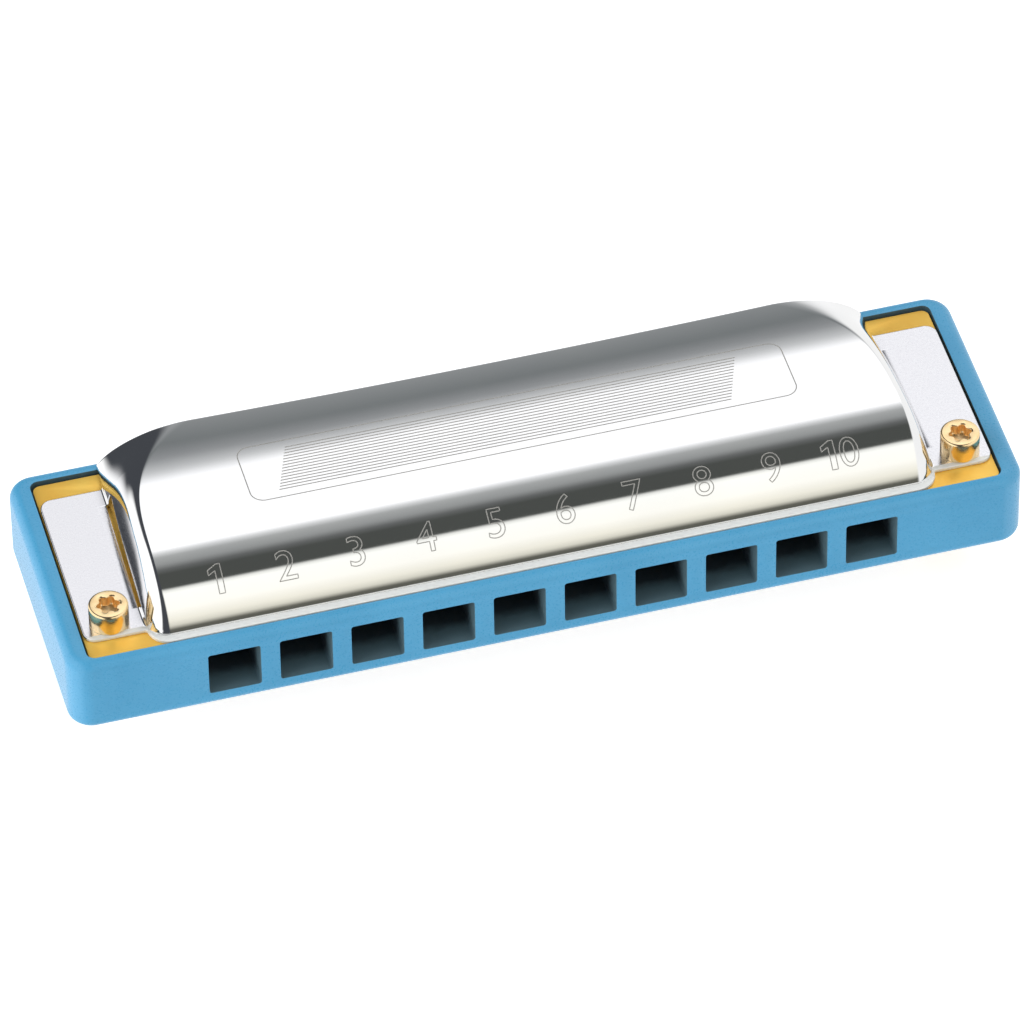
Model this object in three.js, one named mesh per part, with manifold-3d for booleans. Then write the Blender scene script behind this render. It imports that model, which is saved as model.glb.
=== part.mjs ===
// A ten-hole diatonic harmonica, in millimetres, +Z up, standing on its lower cover.
// X runs along the row of holes from hole 1 to hole 10, and +Y points away from the player.
// Pieces are laid out from the middle of the comb's height and from the mouthpiece face (y = 0),
// and one group at the end moves them to the part's origin: the middle of the lowest plane.

import * as THREE from "three";
import { mergeVertices } from "three/addons/utils/BufferGeometryUtils.js";
import Module from "manifold-3d";

const wasm = await Module();
wasm.setup();

// ---------- driving dimensions ----------

// comb: the moulded body with ten channels
const HOLE_COUNT = 10;
const HOLE_PITCH = 7.5;
const HOLE_ROW_SHIFT = 0.25;
const HOLE_WIDTH = 5.5;
const HOLE_HEIGHT = 5.4;
const HOLE_CORNER = 0.45;
const COMB_LENGTH = 101.2;
const COMB_DEPTH = 29;
const COMB_HEIGHT = 9.3;
const COMB_CORNER = 2.6;
const COMB_EDGE_ROUND = 1.2;
const LIP_DEPTH = 5.5;
const CHAMBER_CORNER = 0.6;
const CHAMBER_BACK_GAP = 0.6;
const MOUTH_OVERLAP = 0.7;

// recess in the top and the bottom of the comb that each reed plate lies in
const POCKET_HALF_LENGTH = 48.4;
const POCKET_FRONT = 1.03;
const POCKET_BACK = 27.42;
const POCKET_CORNER = 0.9;

// reed plates
const PLATE_THICKNESS = 0.9;
const PLATE_BELOW_RIM = 0.35;
const PLATE_HALF_LENGTH = 48.15;
const PLATE_FRONT = 1.15;
const PLATE_BACK = 27.05;
const PLATE_CORNER = 0.8;

// reeds: the longest tongue belongs to hole 1, the shortest to hole 10
const REED_TIP_Y = 5.8;
const LONGEST_TONGUE = 15.4;
const SHORTEST_TONGUE = 10.4;
const WIDEST_TONGUE = 2.3;
const NARROWEST_TONGUE = 1.9;
const REED_THICKNESS = 0.25;
const PAD_LENGTH = 3;
const PAD_WIDTH = 3;
const PAD_CHAMFER = 0.3;
const PAD_GAP = 0.15;
const SLOT_SIDE_GAP = 0.14;
const SLOT_TIP_GAP = 0.16;
const SLOT_UNDER_PAD = 0.1;

// rivets that hold the reeds
const RIVET_RADIUS = 0.5;
const RIVET_HEAD_RADIUS = 0.95;
const RIVET_HEAD_HEIGHT = 0.4;
const RIVET_HEAD_EDGE = 0.24;
const RIVET_HEAD_TAPER = 0.1;
const RIVET_TAIL_RADIUS = 0.8;
const RIVET_TAIL_HEIGHT = 0.2;
const REED_HOLE_RADIUS = 0.66;
const PIN_CLEARANCE = 0.03;
const FACE_CLEARANCE = 0.02;

// covers: a dome of bent sheet with a flat tab at each end
const SHEET = 0.45;
const COVER_RISE = 5.45;
const FLANGE_FRONT = 1.15;
const NOSE_START = 2.05;
const NOSE_FOOT_RISE = 0.2;
const NOSE_FOOT_PULL = [1.02, 3.14];
const NOSE_CROWN_PULL = 5.4;
const CREASE_WIDTH = 0.2;
const CROWN_FRONT = 11;
const CROWN_BACK = 18;
const DOME_BACK = 27;
const REAR_DROP = 1;
const REAR_CROWN_PULL = 3;
const REAR_EDGE_PULL = [2.8, 0.65];
const DOME_HALF_LENGTH = 41.25;
const DOME_FRONT_FLARE = 0.35;
const DOME_CORNER = 2.2;
const REAR_BOW = 0.65;
const REAR_LIFT = 0.55;
const SHOULDER_START = 8;
const SHOULDER_FRONT_WIDTH = 1.9;
const SHOULDER_BACK_WIDTH = 10;
const SHOULDER_GROWTH = 3.5;
const SHOULDER_FRONT_POWER = 2;
const SHOULDER_BACK_POWER = 1.4;
const SHOULDER_POWER_GROWTH = 1.5;
const TAB_HALF_LENGTH = 48;
const TAB_FRONT = 3.5;
const TAB_BACK = 24.3;
const TAB_CORNER = 1.2;
const VENT_FRONT = 6.7;
const VENT_BACK = 22;
const VENT_INNER_X = 39.85;
const VENT_OUTER_X = 41.8;
const VENT_FRONT_RISE = 0.3;
const VENT_BACK_RISE = 1.6;
const VENT_CORNER = [0.8, 0.3];

// cover screws and their nuts
const COVER_SCREW_X = 45.1;
const COVER_SCREW_Y = 5.6;
const COVER_SCREW_SHANK = 1.15;
const COVER_SCREW_HOLE = 1.3;
const COVER_SCREW_HEAD_RADIUS = 2.05;
const COVER_SCREW_HEAD_HEIGHT = 2.5;
const COVER_NUT_HEIGHT = 2.3;
const COVER_NUT_FLOOR = 0.5;
const COVER_SCREW_END_GAP = 0.1;
const SCREW_CHAMFER = 0.25;
const COVER_STAR_RADIUS = 1.25;
const COVER_STAR_DEPTH = 1.4;

// short screws that hold each reed plate on the comb
const PLATE_SCREW_PLACES = [
  [-38.6, 6.5],
  [38.6, 6.5],
  [-38.6, 24.4],
  [11.75, 24.4],
  [38.6, 24.4],
];
const PLATE_SCREW_SHANK = 0.75;
const PLATE_SCREW_LENGTH = 2.6;
const PLATE_SCREW_END_GAP = 0.1;
const PLATE_SCREW_HEAD_RADIUS = 1.4;
const PLATE_SCREW_HEAD_HEIGHT = 0.95;
const PLATE_STAR_RADIUS = 0.75;
const PLATE_STAR_DEPTH = 0.55;

// ---------- heights above the middle of the comb ----------

const RIM_Z = COMB_HEIGHT / 2;
const PLATE_OUTER_Z = RIM_Z - PLATE_BELOW_RIM;
const PLATE_INNER_Z = PLATE_OUTER_Z - PLATE_THICKNESS;
const COVER_TOP_Z = PLATE_OUTER_Z + SHEET + COVER_RISE;
const REED_OFFSET = PAD_GAP + REED_THICKNESS / 2;

// ---------- materials ----------

const material = (color, roughness, metalness) =>
  new THREE.MeshStandardMaterial({ color, roughness, metalness });

const COMB_PLASTIC = [0x56a2cc, 0.45, 0];
const REED_BRASS = [0xf0ac48, 0.35, 1];
const COVER_STEEL = [0xd8d9da, 0.12, 1];
const GOLD_PLATE = [0xe8b45a, 0.2, 1];
const RIVET_BRASS = [0xd9a04a, 0.4, 1];

// ---------- shapes ----------

// Moves a profile drawn in (y, z) and extruded along +Z so that it is extruded along X.
const ALONG_X = new THREE.Matrix4().makeBasis(
  new THREE.Vector3(0, 1, 0),
  new THREE.Vector3(0, 0, 1),
  new THREE.Vector3(1, 0, 0),
);

// Moves a profile drawn in (z, x) and extruded along +Z so that it is extruded along Y.
const ALONG_Y = new THREE.Matrix4().makeBasis(
  new THREE.Vector3(0, 0, 1),
  new THREE.Vector3(1, 0, 0),
  new THREE.Vector3(0, 1, 0),
);

function polygonPath(corners) {
  return new THREE.Shape(corners.map(([x, y]) => new THREE.Vector2(x, y)));
}

function roundedRectangle(x0, y0, x1, y1, radius, steps = 4) {
  const centres = [
    [x1 - radius, y0 + radius],
    [x1 - radius, y1 - radius],
    [x0 + radius, y1 - radius],
    [x0 + radius, y0 + radius],
  ];
  const corners = [];
  centres.forEach(([x, y], quarter) => {
    for (let i = 0; i <= steps; i++) {
      const angle = (Math.PI / 2) * (quarter - 1 + i / steps);
      corners.push([x + radius * Math.cos(angle), y + radius * Math.sin(angle)]);
    }
  });
  return polygonPath(corners);
}

// A hole's outline, with its flats at the given radius so that a pin of that radius fits.
function circleOutline(x, y, radius, sides) {
  const corners = [];
  const reach = radius / Math.cos(Math.PI / sides);
  for (let i = 0; i < sides; i++) {
    const angle = (2 * Math.PI * (i + 0.5)) / sides;
    corners.push([x + reach * Math.cos(angle), y + reach * Math.sin(angle)]);
  }
  return polygonPath(corners);
}

// Six lobes with hollows between them, as on a star-drive screw.
function starOutline(x, y, radius) {
  const corners = [];
  for (let i = 0; i < 24; i++) {
    const angle = (2 * Math.PI * i) / 24;
    const reach = radius * (0.86 + 0.14 * Math.cos(6 * angle));
    corners.push([x + reach * Math.cos(angle), y + reach * Math.sin(angle)]);
  }
  return polygonPath(corners);
}

function extrude(shape, from, to) {
  const geometry = new THREE.ExtrudeGeometry(shape, { depth: to - from, bevelEnabled: false });
  return geometry.translate(0, 0, from);
}

// ---------- joining and cutting ----------

function toSolid(geometry) {
  const bare = geometry.clone();
  bare.deleteAttribute("normal");
  bare.deleteAttribute("uv");
  const merged = mergeVertices(bare, 1e-4);
  const vertProperties = new Float32Array(merged.attributes.position.array);
  const triVerts = new Uint32Array(merged.index.array);
  return new wasm.Manifold(new wasm.Mesh({ numProp: 3, vertProperties, triVerts }));
}

function toGeometry(solid) {
  const mesh = solid.getMesh();
  const positions = new THREE.BufferAttribute(new Float32Array(mesh.vertProperties), 3);
  const geometry = new THREE.BufferGeometry().setAttribute("position", positions);
  geometry.setIndex(new THREE.BufferAttribute(new Uint32Array(mesh.triVerts), 1));
  geometry.computeVertexNormals();
  return geometry;
}

function cut(geometry, cutters) {
  let solid = toSolid(geometry);
  for (const cutter of cutters) {
    solid = solid.subtract(toSolid(cutter));
  }
  return toGeometry(solid);
}

function join(geometries) {
  let solid = toSolid(geometries[0]);
  for (const geometry of geometries.slice(1)) {
    solid = solid.add(toSolid(geometry));
  }
  return toGeometry(solid);
}

// ---------- the holes and their reeds ----------

const mix = (a, b, share) => a + (b - a) * share;
const holeNumbers = Array.from({ length: HOLE_COUNT }, (_, i) => i);
const holeX = (i) => (i - (HOLE_COUNT - 1) / 2) * HOLE_PITCH + HOLE_ROW_SHIFT;
const tongueLength = (i) => mix(LONGEST_TONGUE, SHORTEST_TONGUE, i / (HOLE_COUNT - 1));
const tongueWidth = (i) => mix(WIDEST_TONGUE, NARROWEST_TONGUE, i / (HOLE_COUNT - 1));
const padFront = (i) => REED_TIP_Y + tongueLength(i);
const rivetY = (i) => padFront(i) + PAD_LENGTH / 2;
const chamberBack = (i) => padFront(i) + PAD_LENGTH + CHAMBER_BACK_GAP;
const twoDigits = (i) => String(i + 1).padStart(2, "0");

// ---------- comb ----------

function combGeometry() {
  const inset = COMB_EDGE_ROUND;
  const outline = roundedRectangle(
    -COMB_LENGTH / 2 + inset,
    inset,
    COMB_LENGTH / 2 - inset,
    COMB_DEPTH - inset,
    COMB_CORNER - inset,
    5,
  );
  const block = new THREE.ExtrudeGeometry(outline, {
    depth: COMB_HEIGHT - 2 * inset,
    bevelThickness: inset,
    bevelSize: inset,
    bevelSegments: 4,
  }).translate(0, 0, inset - COMB_HEIGHT / 2);

  const pocket = roundedRectangle(
    -POCKET_HALF_LENGTH,
    POCKET_FRONT,
    POCKET_HALF_LENGTH,
    POCKET_BACK,
    POCKET_CORNER,
  );
  const cutters = [
    extrude(pocket, PLATE_INNER_Z, COMB_HEIGHT),
    extrude(pocket, -COMB_HEIGHT, -PLATE_INNER_Z),
  ];
  for (const i of holeNumbers) {
    const x0 = holeX(i) - HOLE_WIDTH / 2;
    const x1 = holeX(i) + HOLE_WIDTH / 2;
    const chamber = roundedRectangle(x0, LIP_DEPTH, x1, chamberBack(i), CHAMBER_CORNER, 2);
    cutters.push(extrude(chamber, -COMB_HEIGHT, COMB_HEIGHT));
    const mouth = roundedRectangle(-HOLE_HEIGHT / 2, x0, HOLE_HEIGHT / 2, x1, HOLE_CORNER, 2);
    cutters.push(extrude(mouth, -1, LIP_DEPTH + MOUTH_OVERLAP).applyMatrix4(ALONG_Y));
  }
  for (const side of [-1, 1]) {
    const bore = circleOutline(side * COVER_SCREW_X, COVER_SCREW_Y, COVER_SCREW_HOLE, 12);
    cutters.push(extrude(bore, -COMB_HEIGHT, COMB_HEIGHT));
    for (const [x, y] of PLATE_SCREW_PLACES) {
      const pilot = circleOutline(x, y, PLATE_SCREW_SHANK + PIN_CLEARANCE, 8);
      const bottom = PLATE_INNER_Z - PLATE_SCREW_LENGTH - PLATE_SCREW_END_GAP;
      const [from, to] = side > 0 ? [bottom, COMB_HEIGHT] : [-COMB_HEIGHT, -bottom];
      cutters.push(extrude(pilot, from, to));
    }
  }
  return cut(block, cutters);
}

// ---------- reed plates, reeds and rivets ----------

// side is 1 for the upper plate and -1 for the lower one.
function plateGeometry(side) {
  const outline = roundedRectangle(
    -PLATE_HALF_LENGTH,
    PLATE_FRONT,
    PLATE_HALF_LENGTH,
    PLATE_BACK,
    PLATE_CORNER,
  );
  const holes = [];
  for (const i of holeNumbers) {
    const halfWidth = tongueWidth(i) / 2 + SLOT_SIDE_GAP;
    const slotFront = REED_TIP_Y - SLOT_TIP_GAP;
    const slotBack = padFront(i) - SLOT_UNDER_PAD;
    holes.push(
      polygonPath([
        [holeX(i) - halfWidth, slotFront],
        [holeX(i) + halfWidth, slotFront],
        [holeX(i) + halfWidth, slotBack],
        [holeX(i) - halfWidth, slotBack],
      ]),
      circleOutline(holeX(i), rivetY(i), RIVET_RADIUS + PIN_CLEARANCE, 8),
    );
  }
  for (const [x, y] of PLATE_SCREW_PLACES) {
    holes.push(circleOutline(x, y, PLATE_SCREW_SHANK + PIN_CLEARANCE, 8));
  }
  for (const end of [-1, 1]) {
    holes.push(circleOutline(end * COVER_SCREW_X, COVER_SCREW_Y, COVER_SCREW_HOLE, 12));
  }
  const bottom = side > 0 ? PLATE_INNER_Z : -PLATE_OUTER_Z;
  const top = bottom + PLATE_THICKNESS;
  return cut(extrude(outline, bottom, top), holes.map((hole) => extrude(hole, bottom - 1, top + 1)));
}

// A reed is drawn about its own rivet: the tongue points to the mouthpiece.
function reedGeometry(i) {
  const halfTongue = tongueWidth(i) / 2;
  const halfPad = PAD_WIDTH / 2;
  const front = -PAD_LENGTH / 2;
  const back = PAD_LENGTH / 2;
  const reed = polygonPath([
    [-halfTongue, front - tongueLength(i)],
    [halfTongue, front - tongueLength(i)],
    [halfTongue, front],
    [halfPad, front + PAD_CHAMFER],
    [halfPad, back - PAD_CHAMFER],
    [halfPad - PAD_CHAMFER, back],
    [-halfPad + PAD_CHAMFER, back],
    [-halfPad, back - PAD_CHAMFER],
    [-halfPad, front + PAD_CHAMFER],
    [-halfTongue, front],
  ]);
  reed.holes.push(circleOutline(0, 0, REED_HOLE_RADIUS, 8));
  return extrude(reed, -REED_THICKNESS / 2, REED_THICKNESS / 2);
}

// A rivet's axis is Z with its head at the top, and z = 0 lies on the plate's face under the reed.
function rivetGeometry() {
  const headUnderside = 2 * PAD_GAP + REED_THICKNESS;
  const tailFace = -PLATE_THICKNESS - FACE_CLEARANCE;
  const profile = [
    [0, tailFace - RIVET_TAIL_HEIGHT],
    [RIVET_TAIL_RADIUS, tailFace - RIVET_TAIL_HEIGHT],
    [RIVET_TAIL_RADIUS, tailFace],
    [RIVET_RADIUS, tailFace],
    [RIVET_RADIUS, headUnderside],
    [RIVET_HEAD_RADIUS, headUnderside],
    [RIVET_HEAD_RADIUS - RIVET_HEAD_TAPER, headUnderside + RIVET_HEAD_EDGE],
    [0, headUnderside + RIVET_HEAD_HEIGHT],
  ];
  return new THREE.LatheGeometry(profile.map(([r, z]) => new THREE.Vector2(r, z)), 8)
    .rotateX(Math.PI / 2);
}

// ---------- covers ----------

const BASE_Z = PLATE_OUTER_Z + SHEET;
const CROWN_Z = BASE_Z + COVER_RISE;

// Outer profile of the dome at the middle of its length, as (y, z), from the flange to the back edge.
function domeProfile() {
  const noseFoot = new THREE.Vector2(NOSE_START, BASE_Z + NOSE_FOOT_RISE);
  const nose = new THREE.CubicBezierCurve(
    noseFoot,
    noseFoot.clone().add(new THREE.Vector2(...NOSE_FOOT_PULL)),
    new THREE.Vector2(CROWN_FRONT - NOSE_CROWN_PULL, CROWN_Z),
    new THREE.Vector2(CROWN_FRONT, CROWN_Z),
  );
  const backEdge = new THREE.Vector2(DOME_BACK, CROWN_Z - REAR_DROP);
  const back = new THREE.CubicBezierCurve(
    new THREE.Vector2(CROWN_BACK, CROWN_Z),
    new THREE.Vector2(CROWN_BACK + REAR_CROWN_PULL, CROWN_Z),
    backEdge.clone().add(new THREE.Vector2(-REAR_EDGE_PULL[0], REAR_EDGE_PULL[1])),
    backEdge,
  );
  const flange = [
    new THREE.Vector2(FLANGE_FRONT, BASE_Z),
    new THREE.Vector2(NOSE_START - CREASE_WIDTH, BASE_Z),
  ];
  return [...flange, ...nose.getPoints(9), ...back.getPoints(4)];
}

// Share of the full rise that the dome has at distance u from its end, at depth y.
// The corner is crisp along the front and opens into a wide shoulder at the back edge.
function endShare(u, y) {
  const towardsBack = Math.max(0, (y - SHOULDER_START) / (DOME_BACK - SHOULDER_START));
  const widthShare = towardsBack ** SHOULDER_GROWTH;
  const powerShare = towardsBack ** SHOULDER_POWER_GROWTH;
  const shoulder = mix(SHOULDER_FRONT_WIDTH, SHOULDER_BACK_WIDTH, widthShare);
  const power = mix(SHOULDER_FRONT_POWER, SHOULDER_BACK_POWER, powerShare);
  const inside = Math.min(1, u / shoulder);
  return (1 - (1 - inside) ** 2) ** (1 / power);
}

// Places a point of the profile on the dome, at distance u from the end on the given side.
function domePoint(profilePoint, u, end, drop) {
  const { x: y, y: z } = profilePoint;
  const flare = DOME_FRONT_FLARE * THREE.MathUtils.clamp((VENT_BACK - y) / 16, 0, 1);
  const reach = (DOME_HALF_LENGTH + flare) * (1 - u / DOME_HALF_LENGTH);
  const cornerU = Math.max(0, DOME_CORNER - u);
  const cornerBack = DOME_CORNER - Math.sqrt(DOME_CORNER ** 2 - cornerU ** 2);
  const frontShare = Math.max(0, 1 - (y - FLANGE_FRONT) / 9);
  const bowShare = Math.max(0, (y - CROWN_BACK) / (DOME_BACK - CROWN_BACK)) ** 2;
  const bow = REAR_BOW * bowShare * (reach / DOME_HALF_LENGTH) ** 2;
  const lift = REAR_LIFT * THREE.MathUtils.smoothstep(y, TAB_BACK + 0.2, DOME_BACK);
  const rise = (z - BASE_Z) * endShare(u, y);
  const floor = u < 1 ? lift * (1 - u) : 0;
  return new THREE.Vector3(
    end * reach,
    y + cornerBack * frontShare + bow,
    BASE_Z + Math.max(rise, 0) - drop + floor,
  );
}

// The dome's sheet: an outer skin, an inner skin one sheet thickness inside it, and its rim.
function domeGeometry() {
  const profile = domeProfile();
  const steps = [0, 0.06, 0.2, 0.45, 0.85, 1.35, 2.1, 3.4, 5.2, 7.5, 10.5, 20];
  const columns = [{ u: 0, end: -1, drop: SHEET }];
  steps.forEach((u) => columns.push({ u, end: -1, drop: 0 }));
  columns.push({ u: DOME_HALF_LENGTH, end: 1, drop: 0 });
  steps.toReversed().forEach((u) => columns.push({ u, end: 1, drop: 0 }));
  columns.push({ u: 0, end: 1, drop: SHEET });

  const outer = columns.map(({ u, end, drop }) => profile.map((p) => domePoint(p, u, end, drop)));
  const inner = outer.map((column, c) =>
    column.map((point, r) => {
      const nextColumn = outer[Math.min(c + 1, outer.length - 1)][r];
      const lastColumn = outer[Math.max(c - 1, 0)][r];
      const alongX = nextColumn.clone().sub(lastColumn);
      const alongY = column[Math.min(r + 1, column.length - 1)].clone()
        .sub(column[Math.max(r - 1, 0)]);
      return point.clone().addScaledVector(alongX.cross(alongY).normalize(), -SHEET);
    }),
  );

  const positions = [...outer.flat(), ...inner.flat()].flatMap((p) => p.toArray());
  const rows = profile.length;
  const skin = outer.length * rows;
  const at = (c, r) => c * rows + r;
  const triangles = [];
  const quad = (a, b, c, d) => triangles.push(a, b, c, a, c, d);
  for (let c = 0; c + 1 < outer.length; c++) {
    for (let r = 0; r + 1 < rows; r++) {
      quad(at(c, r), at(c + 1, r), at(c + 1, r + 1), at(c, r + 1));
      quad(skin + at(c, r), skin + at(c, r + 1), skin + at(c + 1, r + 1), skin + at(c + 1, r));
    }
    quad(at(c, 0), skin + at(c, 0), skin + at(c + 1, 0), at(c + 1, 0));
    const last = rows - 1;
    quad(at(c, last), at(c + 1, last), skin + at(c + 1, last), skin + at(c, last));
  }
  for (let r = 0; r + 1 < rows; r++) {
    const end = outer.length - 1;
    quad(at(0, r), at(0, r + 1), skin + at(0, r + 1), skin + at(0, r));
    quad(at(end, r), skin + at(end, r), skin + at(end, r + 1), at(end, r + 1));
  }
  const geometry = new THREE.BufferGeometry();
  geometry.setAttribute("position", new THREE.Float32BufferAttribute(positions, 3));
  geometry.setIndex(triangles);
  return geometry;
}

function tabGeometry(end) {
  const inner = DOME_HALF_LENGTH - 0.2;
  const [x0, x1] = end > 0 ? [inner, TAB_HALF_LENGTH] : [-TAB_HALF_LENGTH, -inner];
  const tab = roundedRectangle(x0, TAB_FRONT, x1, TAB_BACK, TAB_CORNER);
  const root = roundedRectangle(
    end > 0 ? inner : -inner - 2,
    TAB_FRONT,
    end > 0 ? inner + 2 : -inner,
    TAB_BACK,
    0.1,
    1,
  );
  tab.holes.push(circleOutline(end * COVER_SCREW_X, COVER_SCREW_Y, COVER_SCREW_HOLE, 12));
  return join([extrude(tab, PLATE_OUTER_Z, BASE_Z), extrude(root, PLATE_OUTER_Z, BASE_Z)]);
}

// A side vent opens the foot of the end wall, and it is tallest towards the back.
function ventCutter(end) {
  const outline = polygonPath([
    [VENT_FRONT, PLATE_OUTER_Z - 1],
    [VENT_BACK, PLATE_OUTER_Z - 1],
    [VENT_BACK, BASE_Z + VENT_BACK_RISE - VENT_CORNER[1]],
    [VENT_BACK - VENT_CORNER[0], BASE_Z + VENT_BACK_RISE],
    [VENT_FRONT, BASE_Z + VENT_FRONT_RISE],
  ]);
  const [from, to] = end > 0 ? [VENT_INNER_X, VENT_OUTER_X] : [-VENT_OUTER_X, -VENT_INNER_X];
  return extrude(outline, from, to).applyMatrix4(ALONG_X);
}

function coverGeometry(side) {
  const shell = join([domeGeometry(), tabGeometry(-1), tabGeometry(1)]);
  const cover = cut(shell, [ventCutter(-1), ventCutter(1)]);
  return side > 0 ? cover : cover.rotateY(Math.PI);
}

// ---------- fasteners ----------

// A screw stands on z = 0 with its head above and its shank below.
function screwGeometry({ head, height, shank, length, star, depth, sides }) {
  const chamfer = Math.min(SCREW_CHAMFER, height / 4);
  const profile = [
    [0, -length],
    [shank, -length],
    [shank, 0],
    [head, 0],
    [head, height - chamfer],
    [head - chamfer, height],
    [0, height],
  ];
  const turned = new THREE.LatheGeometry(profile.map(([r, z]) => new THREE.Vector2(r, z)), sides)
    .rotateX(Math.PI / 2);
  return cut(turned, [extrude(starOutline(0, 0, star), height - depth, height + 1)]);
}

function coverScrewGeometry() {
  return screwGeometry({
    head: COVER_SCREW_HEAD_RADIUS,
    height: COVER_SCREW_HEAD_HEIGHT,
    shank: COVER_SCREW_SHANK,
    length: 2 * BASE_Z + COVER_NUT_HEIGHT - COVER_NUT_FLOOR - COVER_SCREW_END_GAP,
    star: COVER_STAR_RADIUS,
    depth: COVER_STAR_DEPTH,
    sides: 20,
  });
}

function plateScrewGeometry() {
  return screwGeometry({
    head: PLATE_SCREW_HEAD_RADIUS,
    height: PLATE_SCREW_HEAD_HEIGHT,
    shank: PLATE_SCREW_SHANK,
    length: PLATE_THICKNESS + PLATE_SCREW_LENGTH,
    star: PLATE_STAR_RADIUS,
    depth: PLATE_STAR_DEPTH,
    sides: 12,
  });
}

// A round nut whose blind bore takes the end of the cover screw; its flange lies on z = 0.
function coverNutGeometry() {
  const radius = COVER_SCREW_HEAD_RADIUS;
  const bore = COVER_SCREW_SHANK + PIN_CLEARANCE;
  const boreFloor = COVER_NUT_FLOOR - COVER_NUT_HEIGHT;
  const profile = [
    [0, -COVER_NUT_HEIGHT],
    [radius - SCREW_CHAMFER, -COVER_NUT_HEIGHT],
    [radius, SCREW_CHAMFER - COVER_NUT_HEIGHT],
    [radius, 0],
    [bore, 0],
    [bore, boreFloor],
    [0, boreFloor],
  ];
  return new THREE.LatheGeometry(profile.map(([r, z]) => new THREE.Vector2(r, z)), 20)
    .rotateX(Math.PI / 2);
}

// ---------- assembly ----------

const harmonica = new THREE.Group();
harmonica.position.set(0, -COMB_DEPTH / 2, COVER_TOP_Z);

function place(name, geometry, finish, position = [0, 0, 0], turn = 0) {
  const mesh = new THREE.Mesh(geometry, material(...finish));
  mesh.name = name;
  mesh.position.set(...position);
  mesh.rotation.x = turn;
  harmonica.add(mesh);
}

place("comb", combGeometry(), COMB_PLASTIC);
place("upper_reed_plate", plateGeometry(1), REED_BRASS);
place("lower_reed_plate", plateGeometry(-1), REED_BRASS);

for (const i of holeNumbers) {
  // Blow reeds hang inside the chambers, and draw reeds hang outside the lower plate.
  const reedAt = (plateFace) => [holeX(i), rivetY(i), plateFace - REED_OFFSET];
  const rivetAt = (plateFace) => [holeX(i), rivetY(i), plateFace];
  place(`blow_reed_${twoDigits(i)}`, reedGeometry(i), REED_BRASS, reedAt(PLATE_INNER_Z));
  place(`draw_reed_${twoDigits(i)}`, reedGeometry(i), REED_BRASS, reedAt(-PLATE_OUTER_Z));
  place(`blow_rivet_${twoDigits(i)}`, rivetGeometry(), RIVET_BRASS, rivetAt(PLATE_INNER_Z), Math.PI);
  place(`draw_rivet_${twoDigits(i)}`, rivetGeometry(), RIVET_BRASS, rivetAt(-PLATE_OUTER_Z), Math.PI);
}

PLATE_SCREW_PLACES.forEach(([x, y], i) => {
  const top = PLATE_OUTER_Z + FACE_CLEARANCE;
  place(`upper_plate_screw_${i + 1}`, plateScrewGeometry(), GOLD_PLATE, [x, y, top]);
  place(`lower_plate_screw_${i + 1}`, plateScrewGeometry(), GOLD_PLATE, [x, y, -top], Math.PI);
});

place("upper_cover", coverGeometry(1), COVER_STEEL);
place("lower_cover", coverGeometry(-1), COVER_STEEL);

for (const [end, hand] of [[-1, "left"], [1, "right"]]) {
  const plan = [end * COVER_SCREW_X, COVER_SCREW_Y];
  const seat = BASE_Z + FACE_CLEARANCE;
  place(`${hand}_cover_screw`, coverScrewGeometry(), GOLD_PLATE, [...plan, seat]);
  place(`${hand}_cover_nut`, coverNutGeometry(), GOLD_PLATE, [...plan, -seat]);
}

export default harmonica;
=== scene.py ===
import math

import bmesh
import bpy
import numpy as np
from mathutils import Matrix, Vector


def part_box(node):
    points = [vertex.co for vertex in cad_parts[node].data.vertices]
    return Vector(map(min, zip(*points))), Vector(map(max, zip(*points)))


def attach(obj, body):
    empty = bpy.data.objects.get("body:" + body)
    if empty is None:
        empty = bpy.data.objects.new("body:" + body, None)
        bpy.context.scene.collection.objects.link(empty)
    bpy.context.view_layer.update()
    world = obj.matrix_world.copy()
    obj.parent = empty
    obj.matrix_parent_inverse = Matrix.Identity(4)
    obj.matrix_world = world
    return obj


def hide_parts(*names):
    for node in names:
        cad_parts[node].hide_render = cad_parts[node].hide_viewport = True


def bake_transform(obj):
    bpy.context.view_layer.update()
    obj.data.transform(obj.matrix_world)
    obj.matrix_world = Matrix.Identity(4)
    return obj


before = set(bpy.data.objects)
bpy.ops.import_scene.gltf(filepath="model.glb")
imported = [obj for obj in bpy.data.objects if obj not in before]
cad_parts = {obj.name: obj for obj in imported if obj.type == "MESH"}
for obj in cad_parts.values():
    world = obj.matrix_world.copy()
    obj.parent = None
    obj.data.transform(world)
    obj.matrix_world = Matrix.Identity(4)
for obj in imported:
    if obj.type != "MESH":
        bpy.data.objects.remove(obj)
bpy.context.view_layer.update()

# Looks of a ten-hole diatonic harmonica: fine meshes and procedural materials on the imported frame.
#
# Meshes are drawn in millimetres, with x along the row of holes, y back from the mouthpiece face
# and z up from the middle of the comb. add_piece() and to_part_frame() move them to the frame.

MM = 0.001
ROOT = "root"
HOLES = range(1, 11)

# ---------- sizes from the frame ----------

COMB_LOW, COMB_HIGH = (np.array(corner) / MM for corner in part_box("comb"))
ORIGIN = np.array([0, COMB_LOW[1], (COMB_LOW[2] + COMB_HIGH[2]) / 2])


def local_box(node):
    """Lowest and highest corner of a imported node, in this script's millimetres."""
    low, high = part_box(node)
    return np.array(low) / MM - ORIGIN, np.array(high) / MM - ORIGIN


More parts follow.
